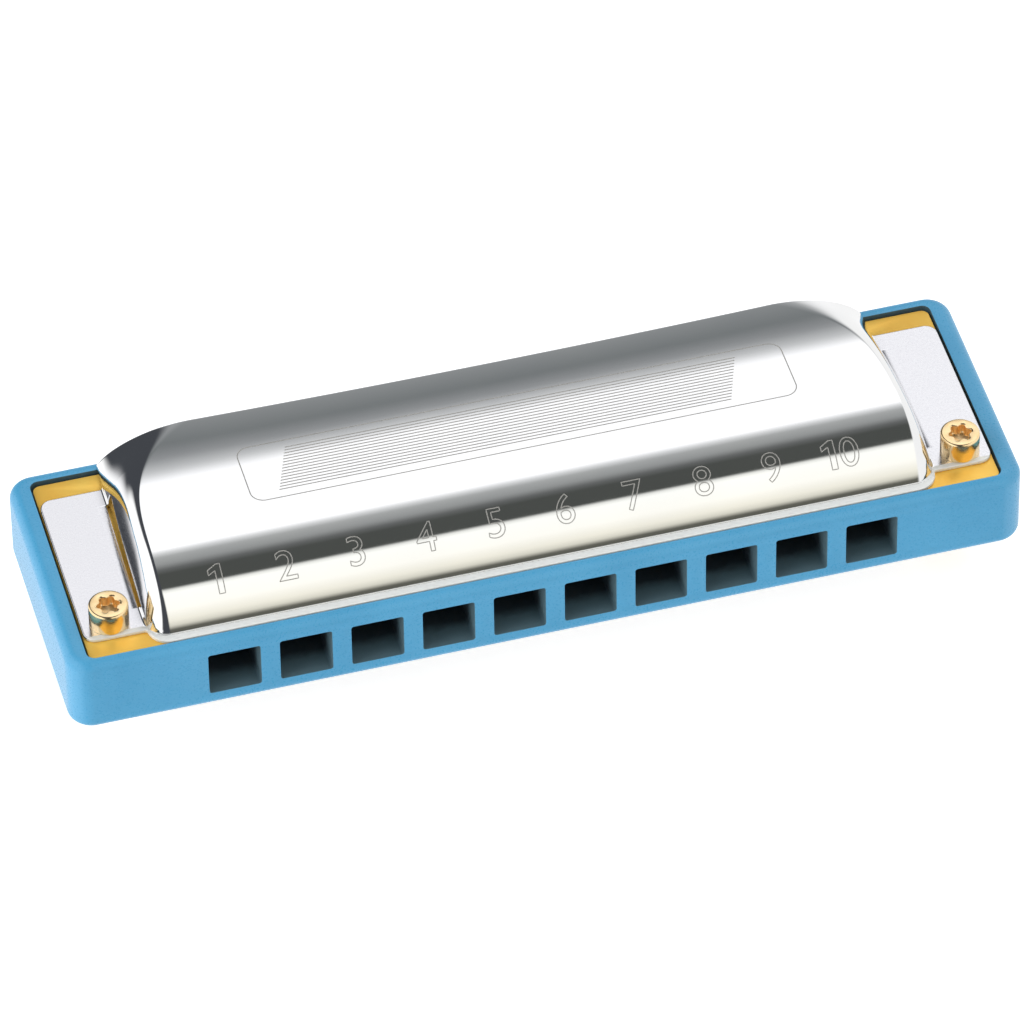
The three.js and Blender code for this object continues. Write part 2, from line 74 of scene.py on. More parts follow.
COMB_HALF_LENGTH = COMB_HIGH[0]
COMB_DEPTH = COMB_HIGH[1] - COMB_LOW[1]
RIM_Z = (COMB_HIGH[2] - COMB_LOW[2]) / 2
PLATE_LOW, PLATE_HIGH = local_box("upper_reed_plate")
COVER_HIGH = local_box("upper_cover")[1]
PLATE_TOP = PLATE_HIGH[2]
PLATE_BOTTOM = PLATE_LOW[2]
CROWN_Z = COVER_HIGH[2]
TAB_HALF_LENGTH = COVER_HIGH[0]

# comb
COMB_CORNER = 2.6
COMB_EDGE = 1.2
POCKET_GAP_X = 0.25
POCKET_GAP_FRONT = 0.12
POCKET_GAP_BACK = 0.37
POCKET_CORNER = 0.9
HOLE_WIDTH = 5.5
HOLE_HEIGHT = 5.4
HOLE_CORNER = 0.3
LIP_DEPTH = 5.5
CHAMBER_BACK_GAP = 0.6
CHAMBER_CORNER = 0.6
PLATE_CORNER = 0.8
PLATE_EDGE = 0.04
CUT_EDGE = 0.12
BORE_RADIUS = 1.3
PILOT_RADIUS = 0.78
PILOT_DEPTH = 2.7
PAST_FACE = 1

# covers
SHEET = 0.45
BASE_Z = PLATE_TOP + SHEET
FLANGE_FRONT = PLATE_LOW[1]
NOSE_START = 2.05
NOSE_FOOT_PULL = np.array([1.02, 3.14])
NOSE_FOOT_SLOPE = math.atan2(NOSE_FOOT_PULL[1], NOSE_FOOT_PULL[0])
NOSE_FOOT_RISE = 0.03
NOSE_FOOT_REACH = NOSE_FOOT_RISE / math.sin(NOSE_FOOT_SLOPE)
FLANGE_BACK = NOSE_START - NOSE_FOOT_REACH * (1 + math.cos(NOSE_FOOT_SLOPE))
NOSE_CROWN_PULL = 5.4
CROWN_FRONT = 11
CROWN_BACK = 18
DOME_BACK = 27
REAR_DROP = 1
REAR_CROWN_PULL = 3
REAR_EDGE_PULL = (2.8, 0.65)
DOME_HALF_LENGTH = 41.25
FRONT_FLARE = 0.35
FLARE_DEPTH = 16
DOME_CORNER = 2.2
CORNER_DEPTH = 9
REAR_BOW = 0.65
REAR_LIFT = 0.55
SHOULDER_START = 8
SHOULDER_FRONT_WIDTH = 1.9
SHOULDER_BACK_WIDTH = 10
SHOULDER_GROWTH = 3.5
SHOULDER_FRONT_POWER = 2
SHOULDER_BACK_POWER = 1.4
SHOULDER_POWER_GROWTH = 1.5
TAB_FRONT = 3.5
TAB_BACK = 24.3
TAB_CORNER = 1.2
TAB_SLIT = 0.45
TAB_BEND = 0.3
VENT_FRONT = 6.7
VENT_BACK = 22
VENT_FRONT_RISE = 0.42
VENT_BACK_RISE = 1.6
RIM_BULGE = 0.09

# engraved marks
NUMBER_PITCH = 7.33
FIRST_NUMBER_X = -34.0
NUMBER_HEIGHT = 3.1
NUMBER_FOOT = 3.2
FIGURE_GAP = 0.16
MARK_WIDTH = 0.11
MARK_PROUD = 0.006
MARK_DEEP = 0.03
MARK_STEP = 0.12
PANEL_LINES = 15
PANEL_PITCH = 0.42
PANEL_START = 14.2
PANEL_LEAN = 0.35
PANEL_LINE_ENDS = (-25, 23)
PANEL_LINE_WIDTH = 0.13
BORDER_ENDS = (-28, 30)
BORDER_MARGIN = 1.1
BORDER_CORNER = 1.4
BORDER_WIDTH = 0.12
BORDER_STEP = 0.3

# reeds and rivets
REED_THICKNESS = 0.25
PAD_LENGTH = 3
PAD_CORNER = 0.45
SLOT_SIDE_GAP = 0.14
SLOT_TIP_GAP = 0.16
SLOT_CORNER = 0.08
TONGUE_WIDTHS = (2.3, 1.9)
TONGUE_EDGE = 0.03
TIP_ROUND = 0.15
TIP_TAPER = 0.08
TIP_OFFSET = 0.12
TONGUE_THINNING = 0.3
PAD_TOP = 0.275
PAD_BOTTOM = 0.27
TIP_WEIGHT = 0.16
WEIGHTED_REEDS = 3
RIVET_RADIUS = 0.5
RIVET_HOLE_RADIUS = RIVET_RADIUS + 0.03
RIVET_HEAD_RADIUS = 0.95
RIVET_TAIL_RADIUS = 0.8
RIVET_TAIL = 0.2
RIVET_PAD = 0.55

# screws and nuts
STAR_LOBES = 6
THREAD_DEPTH = 0.14
COVER_SCREW = {
    "head_radius": 2.05,
    "head_height": 2.5,
    "shank_radius": 1.15,
    "star_radius": 1.2,
    "star_depth": 1.1,
    "pitch": 0.5,
}
PLATE_SCREW = {
    "head_radius": 1.4,
    "head_height": 0.95,
    "shank_radius": 0.75,
    "star_radius": 0.75,
    "star_depth": 0.55,
    "pitch": 0.45,
}
KNURLS = 24
KNURL_DEPTH = 0.06
NUT_BORE_RADIUS = 1.18
NUT_FLOOR = 0.5


# ---------- meshes ----------


def turn_faces_outwards(mesh):
    work = bmesh.new()
    work.from_mesh(mesh)
    bmesh.ops.recalc_face_normals(work, faces=work.faces)
    work.to_mesh(mesh)
    work.free()


def to_part_frame(mesh):
    mesh.transform(Matrix.Scale(MM, 4) @ Matrix.Translation(Vector(ORIGIN)))


def linked_object(name, data):
    made = bpy.data.objects.new(name, data)
    bpy.context.scene.collection.objects.link(made)
    return made


def add_piece(
    name, points, faces, materials, replaced=(), body=ROOT, face_slots=None, sharp=35
):
    """Makes a piece from millimetre points and dresses it."""
    mesh = bpy.data.meshes.new(name)
    placed = (np.asarray(points, float) + ORIGIN) * MM
    mesh.from_pydata(placed.tolist(), [], faces)
    for material in materials:
        mesh.materials.append(material)
    if face_slots is not None:
        mesh.polygons.foreach_set("material_index", face_slots)
    return dress(name, mesh, replaced, body, sharp)


def dress(name, mesh, replaced, body=ROOT, sharp=35):
    """Makes a piece of a mesh in place, rides it and hides the nodes it stands for."""
    turn_faces_outwards(mesh)
    mesh.polygons.foreach_set("use_smooth", [True] * len(mesh.polygons))
    mesh.set_sharp_from_angle(angle=math.radians(sharp))
    piece = linked_object(name, mesh)
    if body:
        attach(piece, body)
    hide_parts(*replaced)
    return piece


def loft(rings, endless=False):
    """Joins equal rings of points into a tube, with its two ends closed or joined together."""
    count = len(rings[0])
    points = np.concatenate(rings)
    faces = []
    for k in range(len(rings) if endless else len(rings) - 1):
        near, far = k * count, (k + 1) % len(rings) * count
        for i in range(count):
            j = (i + 1) % count
            faces.append((near + i, near + j, far + j, far + i))
    if not endless:
        faces.append(tuple(range(count - 1, -1, -1)))
        last = (len(rings) - 1) * count
        faces.append(tuple(range(last, last + count)))
    return points, faces


def rounded_outline(x0, y0, x1, y1, radius, steps=8):
    """Corners of a rectangle with round corners, anticlockwise."""
    centres = [(x1 - radius, y0 + radius), (x1 - radius, y1 - radius)]
    centres += [(x0 + radius, y1 - radius), (x0 + radius, y0 + radius)]
    outline = []
    for quarter, (x, y) in enumerate(centres):
        for step in range(steps + 1):
            angle = math.pi / 2 * (quarter - 1 + step / steps)
            outline.append((x + radius * math.cos(angle), y + radius * math.sin(angle)))
    return np.array(outline)


def circle_outline(x, y, radius, sides=32):
    angles = np.linspace(0, 2 * math.pi, sides, endpoint=False)
    return np.column_stack([x + radius * np.cos(angles), y + radius * np.sin(angles)])


def at_height(outline, z):
    return np.column_stack([outline, np.full(len(outline), z)])


def upright(outline, z0, z1):
    """A prism along z."""
    return loft([at_height(outline, z0), at_height(outline, z1)])


def lying(outline, y0, y1):
    """A prism along y, of an outline drawn in (x, z)."""
    x, z = outline.T
    return loft([np.column_stack([x, np.full(len(x), y), z]) for y in (y0, y1)])


def merged(shapes):
    """Several (points, faces) as one, for cutters that don't touch each other."""
    points, faces = [], []
    for shape_points, shape_faces in shapes:
        start = sum(len(p) for p in points)
        points.append(shape_points)
        faces += [tuple(i + start for i in face) for face in shape_faces]
    return np.concatenate(points), faces


def scratch_object(points, faces, material):
    mesh = bpy.data.meshes.new("scratch")
    mesh.from_pydata(np.asarray(points, float).tolist(), [], faces)
    mesh.materials.append(material)
    turn_faces_outwards(mesh)
    return linked_object("scratch", mesh)


def modified_mesh(made):
    """The object's mesh with its modifiers applied. The object itself is removed."""
    bpy.context.view_layer.update()
    graph = bpy.context.evaluated_depsgraph_get()
    mesh = bpy.data.meshes.new_from_object(made.evaluated_get(graph))
    bpy.data.objects.remove(made)
    return mesh


def add_cut(solid, tool):
    step = solid.modifiers.new("cut", "BOOLEAN")
    step.operation = "DIFFERENCE"
    step.solver = "EXACT"
    step.object = tool
    return step


def carved(body, cutter_groups, body_material, edge):
    """A solid less its (cutters, material) groups, with every sharp edge broken. In millimetres."""
    solid = scratch_object(*body, body_material)
    tools = [scratch_object(*merged(group), material) for group, material in cutter_groups]
    for tool in tools:
        add_cut(solid, tool).material_mode = "TRANSFER"
    rounding = solid.modifiers.new("edges", "BEVEL")
    rounding.width = edge
    rounding.segments = 3
    rounding.limit_method = "ANGLE"
    rounding.angle_limit = math.radians(40)
    rounding.use_clamp_overlap = True
    levelling = solid.modifiers.new("normals", "WEIGHTED_NORMAL")
    levelling.keep_sharp = True
    mesh = modified_mesh(solid)
    for tool in tools:
        bpy.data.objects.remove(tool)
    to_part_frame(mesh)
    return mesh


# ---------- materials ----------


def feed(tree, socket, value):
    """Links another node's output to a socket, or sets the socket's own value."""
    if isinstance(value, bpy.types.NodeSocket):
        tree.links.new(value, socket)
    else:
        socket.default_value = value


def new_node(tree, kind, inputs=None, **settings):
    made = tree.nodes.new(kind)
    for key, value in settings.items():
        setattr(made, key, value)
    for key, value in (inputs or {}).items():
        feed(tree, made.inputs[key], value)
    return made


def fill_ramp(ramp, stops):
    """Gives a colour ramp its (position, colour) stops."""
    while len(ramp.elements) < len(stops):
        ramp.elements.new(0.5)
    for element, (position, colour) in zip(ramp.elements, stops):
        element.position = position
        element.color = (*colour, 1)


class Nodes:
    """A material's node tree, with short calls to build it."""

    def __init__(self, name):
        self.material = bpy.data.materials.new(name)
        self.material.use_nodes = True
        self.tree = self.material.node_tree
        self.shader = self.tree.nodes["Principled BSDF"]

    def node(self, kind, inputs=None, **settings):
        return new_node(self.tree, kind, inputs, **settings)

    def place(self, stretch):
        """Object coordinates in millimetres, squeezed along each axis."""
        where = self.node("ShaderNodeTexCoord").outputs["Object"]
        scaled = [s / MM for s in stretch]
        return self.node("ShaderNodeMapping", {"Vector": where, "Scale": scaled}).outputs["Vector"]

    def noise(self, stretch, detail=3, roughness=0.55):
        inputs = {"Vector": self.place(stretch), "Scale": 1}
        inputs.update({"Detail": detail, "Roughness": roughness})
        return self.node("ShaderNodeTexNoise", inputs).outputs["Fac"]

    def ramp(self, value, stops):
        """Colours by value, from (position, colour) stops."""
        made = self.node("ShaderNodeValToRGB", {"Fac": value})
        fill_ramp(made.color_ramp, stops)
        return made.outputs["Color"]

    def spread(self, value, low, high, start=0.3, end=0.7):
        """A value between start and end, spread from low to high."""
        inputs = {"Value": value, "From Min": start, "From Max": end}
        inputs.update({"To Min": low, "To Max": high})
        return self.node("ShaderNodeMapRange", inputs).outputs["Result"]

    def bump(self, height, strength, distance):
        inputs = {"Height": height, "Strength": strength, "Distance": distance * MM}
        return self.node("ShaderNodeBump", inputs).outputs["Normal"]

    def set(self, **inputs):
        """Feeds the shader's inputs, named with underscores, and returns the material."""
        for key, value in inputs.items():
            feed(self.tree, self.shader.inputs[key.replace("_", " ")], value)
        return self.material


def surface(name, colours, tone, rough, grain=None, bump=None, spots=(0.3, 0.7), **settings):
    """A material: its colour follows the noise tone, its roughness and bump the noise grain."""
    n = Nodes(name)
    tone_noise = n.noise(*tone)
    grain_noise = n.noise(*grain) if grain else tone_noise
    settings["Base_Color"] = n.ramp(tone_noise, list(zip(spots, colours)))
    settings["Roughness"] = n.spread(grain_noise, *rough)
    if bump:
        settings["Normal"] = n.bump(grain_noise, *bump)
    return n.set(**settings)


def mouth_plastic():
    """The holes' walls, with painted shade: paler for the first few millimetres in from the
    mouthpiece face and painted darker deeper in.
    """
    n = Nodes("comb_hole_mouths_painted_shade")
    depth = n.node("ShaderNodeSeparateXYZ", {"Vector": n.place((1, 1, 1))}).outputs["Y"]
    painted_shade_depth = n.node("ShaderNodeMath", {0: depth, 1: n.noise((0.7, 0.7, 0.7), 2)}, operation="ADD")
    face = ORIGIN[1] + 0.5
    inward = n.spread(painted_shade_depth.outputs[0], 0, 1, face + 2.1, face + 3.3)
    # Painted shade: the colour darkens from the mouth inwards and stands for the shade deeper in the
    # hole.
    colour = n.ramp(inward, [(0, (0.105, 0.175, 0.21)), (1, (0.035, 0.05, 0.065))])
    rough = n.spread(n.noise((4, 4, 4), 2), 0.42, 0.6)
    return n.set(Base_Color=colour, Roughness=rough)


def rolled_brass(name, dark, light, rough, stretch, metallic=1.0):
    """Brass with fine rolling marks drawn out along one axis, and a faint cloudy tarnish."""
    return surface(
        name,
        (dark, light),
        tone=((0.25, 0.25, 0.25), 4),
        rough=rough,
        grain=(stretch, 3, 0.7),
        bump=(0.2, 0.01),
        spots=(0.3, 0.72),
        Metallic=metallic,
    )


def mirror_steel():
    """Polished cover steel, with hairline polishing marks and faint clouding."""
    n = Nodes("cover_mirror_steel")
    hairs = n.noise((0.4, 9, 9), 2, 0.6)
    cloud = n.noise((0.08, 0.08, 0.08), 3)
    colour = n.ramp(cloud, [(0.3, (0.86, 0.865, 0.87)), (0.7, (0.91, 0.91, 0.905))])
    rough = n.spread(hairs, 0.045, 0.09)
    normal = n.bump(cloud, 0.05, 0.02)
    return n.set(Base_Color=colour, Roughness=rough, Normal=normal, Metallic=1.0)


# Satin moulded sky blue, with a fine spark-eroded grain.
BLUE = surface(
    "comb_blue_plastic",
    ((0.068, 0.315, 0.54), (0.08, 0.345, 0.58)),
    tone=((0.12, 0.12, 0.12), 4),
    rough=(0.25, 0.34),
    grain=((5, 5, 5), 2),
    bump=(0.25, 0.02),
    IOR=1.5,
)
# Painted shade: the inside of the comb, walls of the chambers and the recess, coloured dark to stand
# for the shade there.
PAINTED_SHADE_DARK = surface(
    "comb_channels_painted_shade",
    ((0.05, 0.098, 0.125), (0.07, 0.13, 0.165)),
    tone=((0.6, 0.2, 0.6), 3),
    rough=(0.42, 0.6),
    grain=((4, 4, 4), 2),
)
MOUTH_PAINTED_SHADE = mouth_plastic()
PLATE_BRASS = rolled_brass(
    "plate_brass", (0.98, 0.56, 0.09), (1.0, 0.66, 0.13), (0.3, 0.4), (0.3, 6, 6), 0.45
)
REED_BRASS = rolled_brass(
    "reed_brass", (0.8, 0.5, 0.17), (0.92, 0.64, 0.27), (0.22, 0.38), (7, 0.4, 7)
)
RIVET_BRASS = rolled_brass(
    "rivet_brass", (0.7, 0.42, 0.14), (0.86, 0.56, 0.22), (0.25, 0.4), (3, 3, 3)
)
MIRROR = mirror_steel()
# The covers' end tabs: steel with a fine blasted grain.
SATIN = surface(
    "cover_satin_steel",
    ((0.74, 0.74, 0.77), (0.92, 0.92, 0.945)),
    tone=((4, 4, 4), 3, 0.7),
    rough=(0.16, 0.24),
    bump=(0.2, 0.006),
    Metallic=1.0,
)
# The covers' narrow front flange, pale and matt where the press has scuffed it.
FLANGE = surface(
    "cover_flange_steel",
    ((0.8, 0.82, 0.81), (0.9, 0.92, 0.91)),
    tone=((2, 9, 9), 3, 0.6),
    rough=(0.45, 0.6),
    bump=(0.2, 0.01),
    Metallic=0.3,
)
# Matt grey of the engraved marks.
ETCHED = surface(
    "etched_marks",
    ((0.42, 0.41, 0.39), (0.62, 0.61, 0.58)),
    tone=((11, 11, 11), 2),
    rough=(0.5, 0.65),
    Metallic=0.8,
)
# Polished gold plate with turning rings.
GOLD = surface(
    "screw_gold_plate",
    ((0.98, 0.7, 0.36), (1.0, 0.8, 0.48)),
    tone=((0.8, 0.8, 0.8), 3),
    rough=(0.14, 0.24),
    grain=((0.6, 0.6, 8), 2),
    bump=(0.08, 0.01),
    Metallic=1.0,
)
# The deep orange gold inside a screw's recess.
RECESS = surface(
    "screw_recess_gold",
    ((1.0, 0.68, 0.34), (1.0, 0.8, 0.5)),
    tone=((2, 2, 2), 3),
    rough=(0.28, 0.42),
    Metallic=1.0,
)

# ---------- comb ----------


def reed_place(kind, number):
    """Centre x, tongue tip y and rivet y of a reed."""
    low, high = local_box(f"{kind}_reed_{number:02d}")
    return (low[0] + high[0]) / 2, low[1], centre_of(f"{kind}_rivet_{number:02d}")[1]


def centre_of(node):
    low, high = local_box(node)
    return (low[0] + high[0]) / 2, (low[1] + high[1]) / 2


HANDS = ("left", "right")
PLATE_SCREWS = range(1, 6)
SCREW_BORES = [circle_outline(*centre_of(f"{hand}_cover_screw"), BORE_RADIUS) for hand in HANDS]
PILOTS = [
    circle_outline(*centre_of(f"upper_plate_screw_{k}"), PILOT_RADIUS, 20) for k in PLATE_SCREWS
]


def make_comb():
    """The moulded comb, rounded all over, less its recesses, chambers, mouths and screw holes."""
    rings = []
    steps = 10
    for end in (-1, 1):
        for step in range(steps + 1):
            turn = math.pi / 2 * (step / steps if end < 0 else 1 - step / steps)
            inset = COMB_EDGE * (1 - math.sin(turn))
            height = end * (RIM_Z - COMB_EDGE * (1 - math.cos(turn)))
            outline = rounded_outline(
                inset - COMB_HALF_LENGTH,
                inset,
                COMB_HALF_LENGTH - inset,
                COMB_DEPTH - inset,
                COMB_CORNER - inset,
                12,
            )
            rings.append(at_height(outline, height))
    block = loft(rings)

    pocket = rounded_outline(
        PLATE_LOW[0] - POCKET_GAP_X,
        PLATE_LOW[1] - POCKET_GAP_FRONT,
        PLATE_HIGH[0] + POCKET_GAP_X,
        PLATE_HIGH[1] + POCKET_GAP_BACK,
        POCKET_CORNER,
    )
    above = RIM_Z + PAST_FACE
    pockets = [upright(pocket, PLATE_BOTTOM, above), upright(pocket, -above, -PLATE_BOTTOM)]
    chambers, mouths = [], []
    for number in HOLES:
        x, _, rivet_y = reed_place("blow", number)
        back = rivet_y + PAD_LENGTH / 2 + CHAMBER_BACK_GAP
        sides = (x - HOLE_WIDTH / 2, x + HOLE_WIDTH / 2)
        chamber = rounded_outline(sides[0], LIP_DEPTH, sides[1], back, CHAMBER_CORNER)
        chambers.append(upright(chamber, -above, above))
        mouth = rounded_outline(sides[0], -HOLE_HEIGHT / 2, sides[1], HOLE_HEIGHT / 2, HOLE_CORNER)
        mouths.append(lying(mouth, -PAST_FACE, LIP_DEPTH + CHAMBER_CORNER + 0.1))
    bores = [upright(outline, -above, above) for outline in SCREW_BORES]
    pilot_end = PLATE_BOTTOM - PILOT_DEPTH
    pilots = [upright(outline, pilot_end, above) for outline in PILOTS]
    pilots += [upright(outline, -above, -pilot_end) for outline in PILOTS]
    # The recesses, chambers, bores and pilots take the dark painted shade, and the mouths take the
    # painted shade that deepens inwards.
    groups = [(pockets, PAINTED_SHADE_DARK), (chambers, PAINTED_SHADE_DARK), (mouths, MOUTH_PAINTED_SHADE), (bores, PAINTED_SHADE_DARK), (pilots, PAINTED_SHADE_DARK)]
    mesh = carved(block, groups, BLUE, CUT_EDGE)
    dress("comb_body", mesh, ["comb"], sharp=50)


# ---------- reed plates ----------


def make_plate(side, kind):
    """A stamped plate with a slot under each tongue. side is 1 above the comb and -1 below it."""
    name = "upper_reed_plate" if side > 0 else "lower_reed_plate"
    bottom = PLATE_BOTTOM if side > 0 else -PLATE_TOP
    top = bottom + PLATE_TOP - PLATE_BOTTOM
    reach = bottom - PAST_FACE, top + PAST_FACE
    outline = rounded_outline(*PLATE_LOW[:2], *PLATE_HIGH[:2], PLATE_CORNER)
    slots, holes = [], []
    for number in HOLES:
        x, tip, rivet_y = reed_place(kind, number)
        half = tongue_half_width(number) + SLOT_SIDE_GAP
        front, back = tip - SLOT_TIP_GAP, rivet_y - PAD_LENGTH / 2
        slot = rounded_outline(x - half, front, x + half, back, SLOT_CORNER, 3)
        slots.append(upright(slot, *reach))
        holes.append(upright(circle_outline(x, rivet_y, RIVET_HOLE_RADIUS, 20), *reach))
    holes += [upright(hole, *reach) for hole in SCREW_BORES + PILOTS]
    groups = [(slots, PLATE_BRASS), (holes, PLATE_BRASS)]
    mesh = carved(upright(outline, bottom, top), groups, PLATE_BRASS, PLATE_EDGE)
    dress(name + "_stamped", mesh, [name], sharp=50)


# ---------- reeds and rivets ----------


def tongue_half_width(number):
    """Tongues get narrower from hole 1 to hole 10."""
    wide, narrow = TONGUE_WIDTHS
    return (wide - (wide - narrow) * (number - 1) / 9) / 2


def smoothstep(value, start, end):
    share = np.clip((value - start) / (end - start), 0, 1)
    return share * share * (3 - 2 * share)


def make_reed(kind, number):
    """A riveted pad and a ground tongue, whose tip stands a little off the plate."""
    node = f"{kind}_reed_{number:02d}"
    low, high = local_box(node)
    x, tip, rivet_y = reed_place(kind, number)
    middle = (low[2] + high[2]) / 2
    pad_front = rivet_y - PAD_LENGTH / 2
    pad_back = rivet_y + PAD_LENGTH / 2
    weight = max(0, WEIGHTED_REEDS + 1 - number) / WEIGHTED_REEDS
    length = pad_front - tip
    pad_half = PAD_LENGTH / 2
    tongue_half = tongue_half_width(number)
    stations = np.concatenate([
        np.linspace(tip, tip + TIP_ROUND, 3)[:-1],
        np.linspace(tip + TIP_ROUND, pad_front - 0.25, 40)[:-1],
        np.linspace(pad_front - 0.25, pad_front + 0.45, 10)[:-1],
        np.linspace(pad_front + 0.45, pad_back - PAD_CORNER, 4)[:-1],
        np.linspace(pad_back - PAD_CORNER, pad_back, 8),
    ])
    rings = []
    for y in stations:
        along = np.clip((pad_front - y) / length, 0, 1)
        on_pad = smoothstep(y, pad_front - 0.25, pad_front + 0.1)
        widen = smoothstep(y, pad_front - 0.1, pad_front + PAD_CORNER)
        half = tongue_half + (pad_half - tongue_half) * widen
        corner = max(0, y - (pad_back - PAD_CORNER))
        half -= PAD_CORNER - math.sqrt(max(PAD_CORNER**2 - corner**2, 0))
        half -= TIP_TAPER * smoothstep(tip + TIP_ROUND - y, 0, TIP_ROUND)
        thin = REED_THICKNESS / 2 * (1 - TONGUE_THINNING * smoothstep(along, 0.1, 0.5))
        centre = middle - TIP_OFFSET * along**2
        top = centre + thin + (PAD_TOP - thin) * on_pad
        heavy = TIP_WEIGHT * weight * smoothstep(along, 0.74, 0.8)
        bottom = centre - thin - heavy - (PAD_BOTTOM - thin) * on_pad
        cut = TONGUE_EDGE
        right = [(half - cut, bottom), (half, bottom + cut), (half, top - cut), (half - cut, top)]
        left = [(-dx, z) for dx, z in reversed(right)]
        ring = left[-2:] + right + left[:2]
        rings.append(np.array([(x + dx, y, z) for dx, z in ring]))
    points, faces = loft(rings)
    piece = add_piece(
        f"{node}_tongue", points, faces, [REED_BRASS], [node], body=None, sharp=30
    )
    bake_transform(piece)


def turned(profile, sides=48, lobes=None):
    """Rings of a lathe profile of (radius, z). lobes(radius, z, angles) may shape a ring."""
    angles = np.linspace(0, 2 * math.pi, sides, endpoint=False)
    rings = []
    for radius, z in profile:
        reach = np.full(sides, radius) if lobes is None else lobes(radius, z, angles)
        flat = np.column_stack([reach * np.cos(angles), reach * np.sin(angles)])
        rings.append(at_height(flat, z))
    return rings


def arc(centre_r, centre_z, radius, start, end, steps):
    """Profile points (r, z) round a centre, by degrees from the outward direction."""
    angles = np.radians(np.linspace(start, end, steps + 1))
    return [(centre_r + radius * math.cos(a), centre_z + radius * math.sin(a)) for a in angles]


def make_rivet(kind, number):
    """A pressed rivet: domed head under the reed's pad and a flattened tail through the plate."""
    node = f"{kind}_rivet_{number:02d}"
    low, high = local_box(node)
    x, y = centre_of(node)
    face = high[2] - RIVET_TAIL - 0.02 - (PLATE_TOP - PLATE_BOTTOM)
    underside = face - RIVET_PAD
    rise = underside - low[2]
    head = [(0.02, low[2])]
    head += [
        (RIVET_HEAD_RADIUS * math.sin(a), underside - rise * (0.25 + 0.75 * math.cos(a)))
        for a in np.radians(np.linspace(10, 90, 10))
    ]
    head += [(RIVET_HEAD_RADIUS, underside - 0.03), (RIVET_HEAD_RADIUS - 0.03, underside)]
    tail_face = high[2] - RIVET_TAIL
    shank = [(RIVET_RADIUS, underside), (RIVET_RADIUS, tail_face)]
    wide = RIVET_TAIL_RADIUS
    tail = [(wide - 0.04, tail_face), (wide, tail_face + 0.04), (wide - 0.08, tail_face + 0.13)]
    tail += [(0.45, high[2] - 0.02), (0.02, high[2] - 0.05)]
    points, faces = loft(turned(head + shank + tail, 32))
    add_piece(f"{node}_pressed", points + (x, y, 0), faces, [RIVET_BRASS], [node])


# ---------- covers ----------


def bezier(a, b, c, d, count):
    t = np.linspace(0, 1, count)[:, None]
    a, b, c, d = (np.array(p, float) for p in (a, b, c, d))
    return (1 - t) ** 3 * a + 3 * (1 - t) ** 2 * t * b + 3 * (1 - t) * t * t * c + t**3 * d


def dome_curve():
    """The dome's profile at mid-length as close-set (y, z) points, from the flange to the back."""
    foot = np.array([NOSE_START, BASE_Z + NOSE_FOOT_RISE])
    radius = NOSE_FOOT_REACH / math.tan(NOSE_FOOT_SLOPE / 2)
    turns = np.linspace(0, NOSE_FOOT_SLOPE, 40)
    bend = np.column_stack([
        FLANGE_BACK + radius * np.sin(turns),
        BASE_Z + radius * (1 - np.cos(turns)),
    ])
    flange = np.array([(FLANGE_FRONT + RIM_BULGE, BASE_Z)])
    nose = bezier(
        foot,
        foot + NOSE_FOOT_PULL,
        (CROWN_FRONT - NOSE_CROWN_PULL, CROWN_Z),
        (CROWN_FRONT, CROWN_Z),
        400,
    )
    edge = np.array([DOME_BACK, CROWN_Z - REAR_DROP])
    back = bezier(
        (CROWN_BACK, CROWN_Z),
        (CROWN_BACK + REAR_CROWN_PULL, CROWN_Z),
        edge + (-REAR_EDGE_PULL[0], REAR_EDGE_PULL[1]),
        edge,
        200,
    )
    return np.concatenate([flange, bend, nose[1:], back])


def resampled(curve, count, turn_weight):
    """Points along a curve, spaced by its length and, where it bends, by its turning."""
    steps = np.diff(curve, axis=0)
    heading = np.unwrap(np.arctan2(steps[:, 1], steps[:, 0]))
    turning = np.abs(np.diff(heading, prepend=heading[0]))
    travel = np.concatenate([[0], np.cumsum(np.hypot(*steps.T) + turn_weight * turning)])
    wanted = np.linspace(0, travel[-1], count)
    return np.column_stack([np.interp(wanted, travel, curve[:, k]) for k in (0, 1)])


def corner_share(y):
    """How much of the front corner's rounding a row takes part in."""
    return max(0, 1 - (y - FLANGE_FRONT) / CORNER_DEPTH)


def row_of(y_real):
    """The row that meets the foot of the end wall at this depth, in front of the crown."""
    set_back = DOME_CORNER * (1 + FLANGE_FRONT / CORNER_DEPTH)
    return (y_real - set_back) / (1 - DOME_CORNER / CORNER_DEPTH)


TAB_ROW = row_of(TAB_FRONT)
VENT_ROW = row_of(VENT_FRONT)
SLIT_BACK = TAB_BACK + TAB_SLIT


ROW_COUNT = 170
TURN_WEIGHT = 3
LEAST_ROW_GAP = 0.06


def shell_rows():
    """(y, z) of each row along the dome's profile, with rows where openings start and end."""
    curve = dome_curve()
    rows = resampled(curve, ROW_COUNT, TURN_WEIGHT)[:, 0]
    fixed = [FLANGE_BACK, TAB_ROW, VENT_ROW, VENT_BACK, TAB_BACK, SLIT_BACK]
    fixed += [row_of(TAB_FRONT + d) for d in (0.1, 0.25, 0.45)]
    fixed += [TAB_BACK - d for d in (0.05, 0.15, 0.35, 0.6, 0.9)]

    def is_kept(y):
        in_crease = FLANGE_BACK < y < NOSE_START + 0.1
        return in_crease or min(abs(y - f) for f in fixed) > LEAST_ROW_GAP

    rows = np.sort(np.array([y for y in rows if is_kept(y)] + fixed))
    return np.column_stack([rows, np.interp(rows, curve[:, 0], curve[:, 1])])


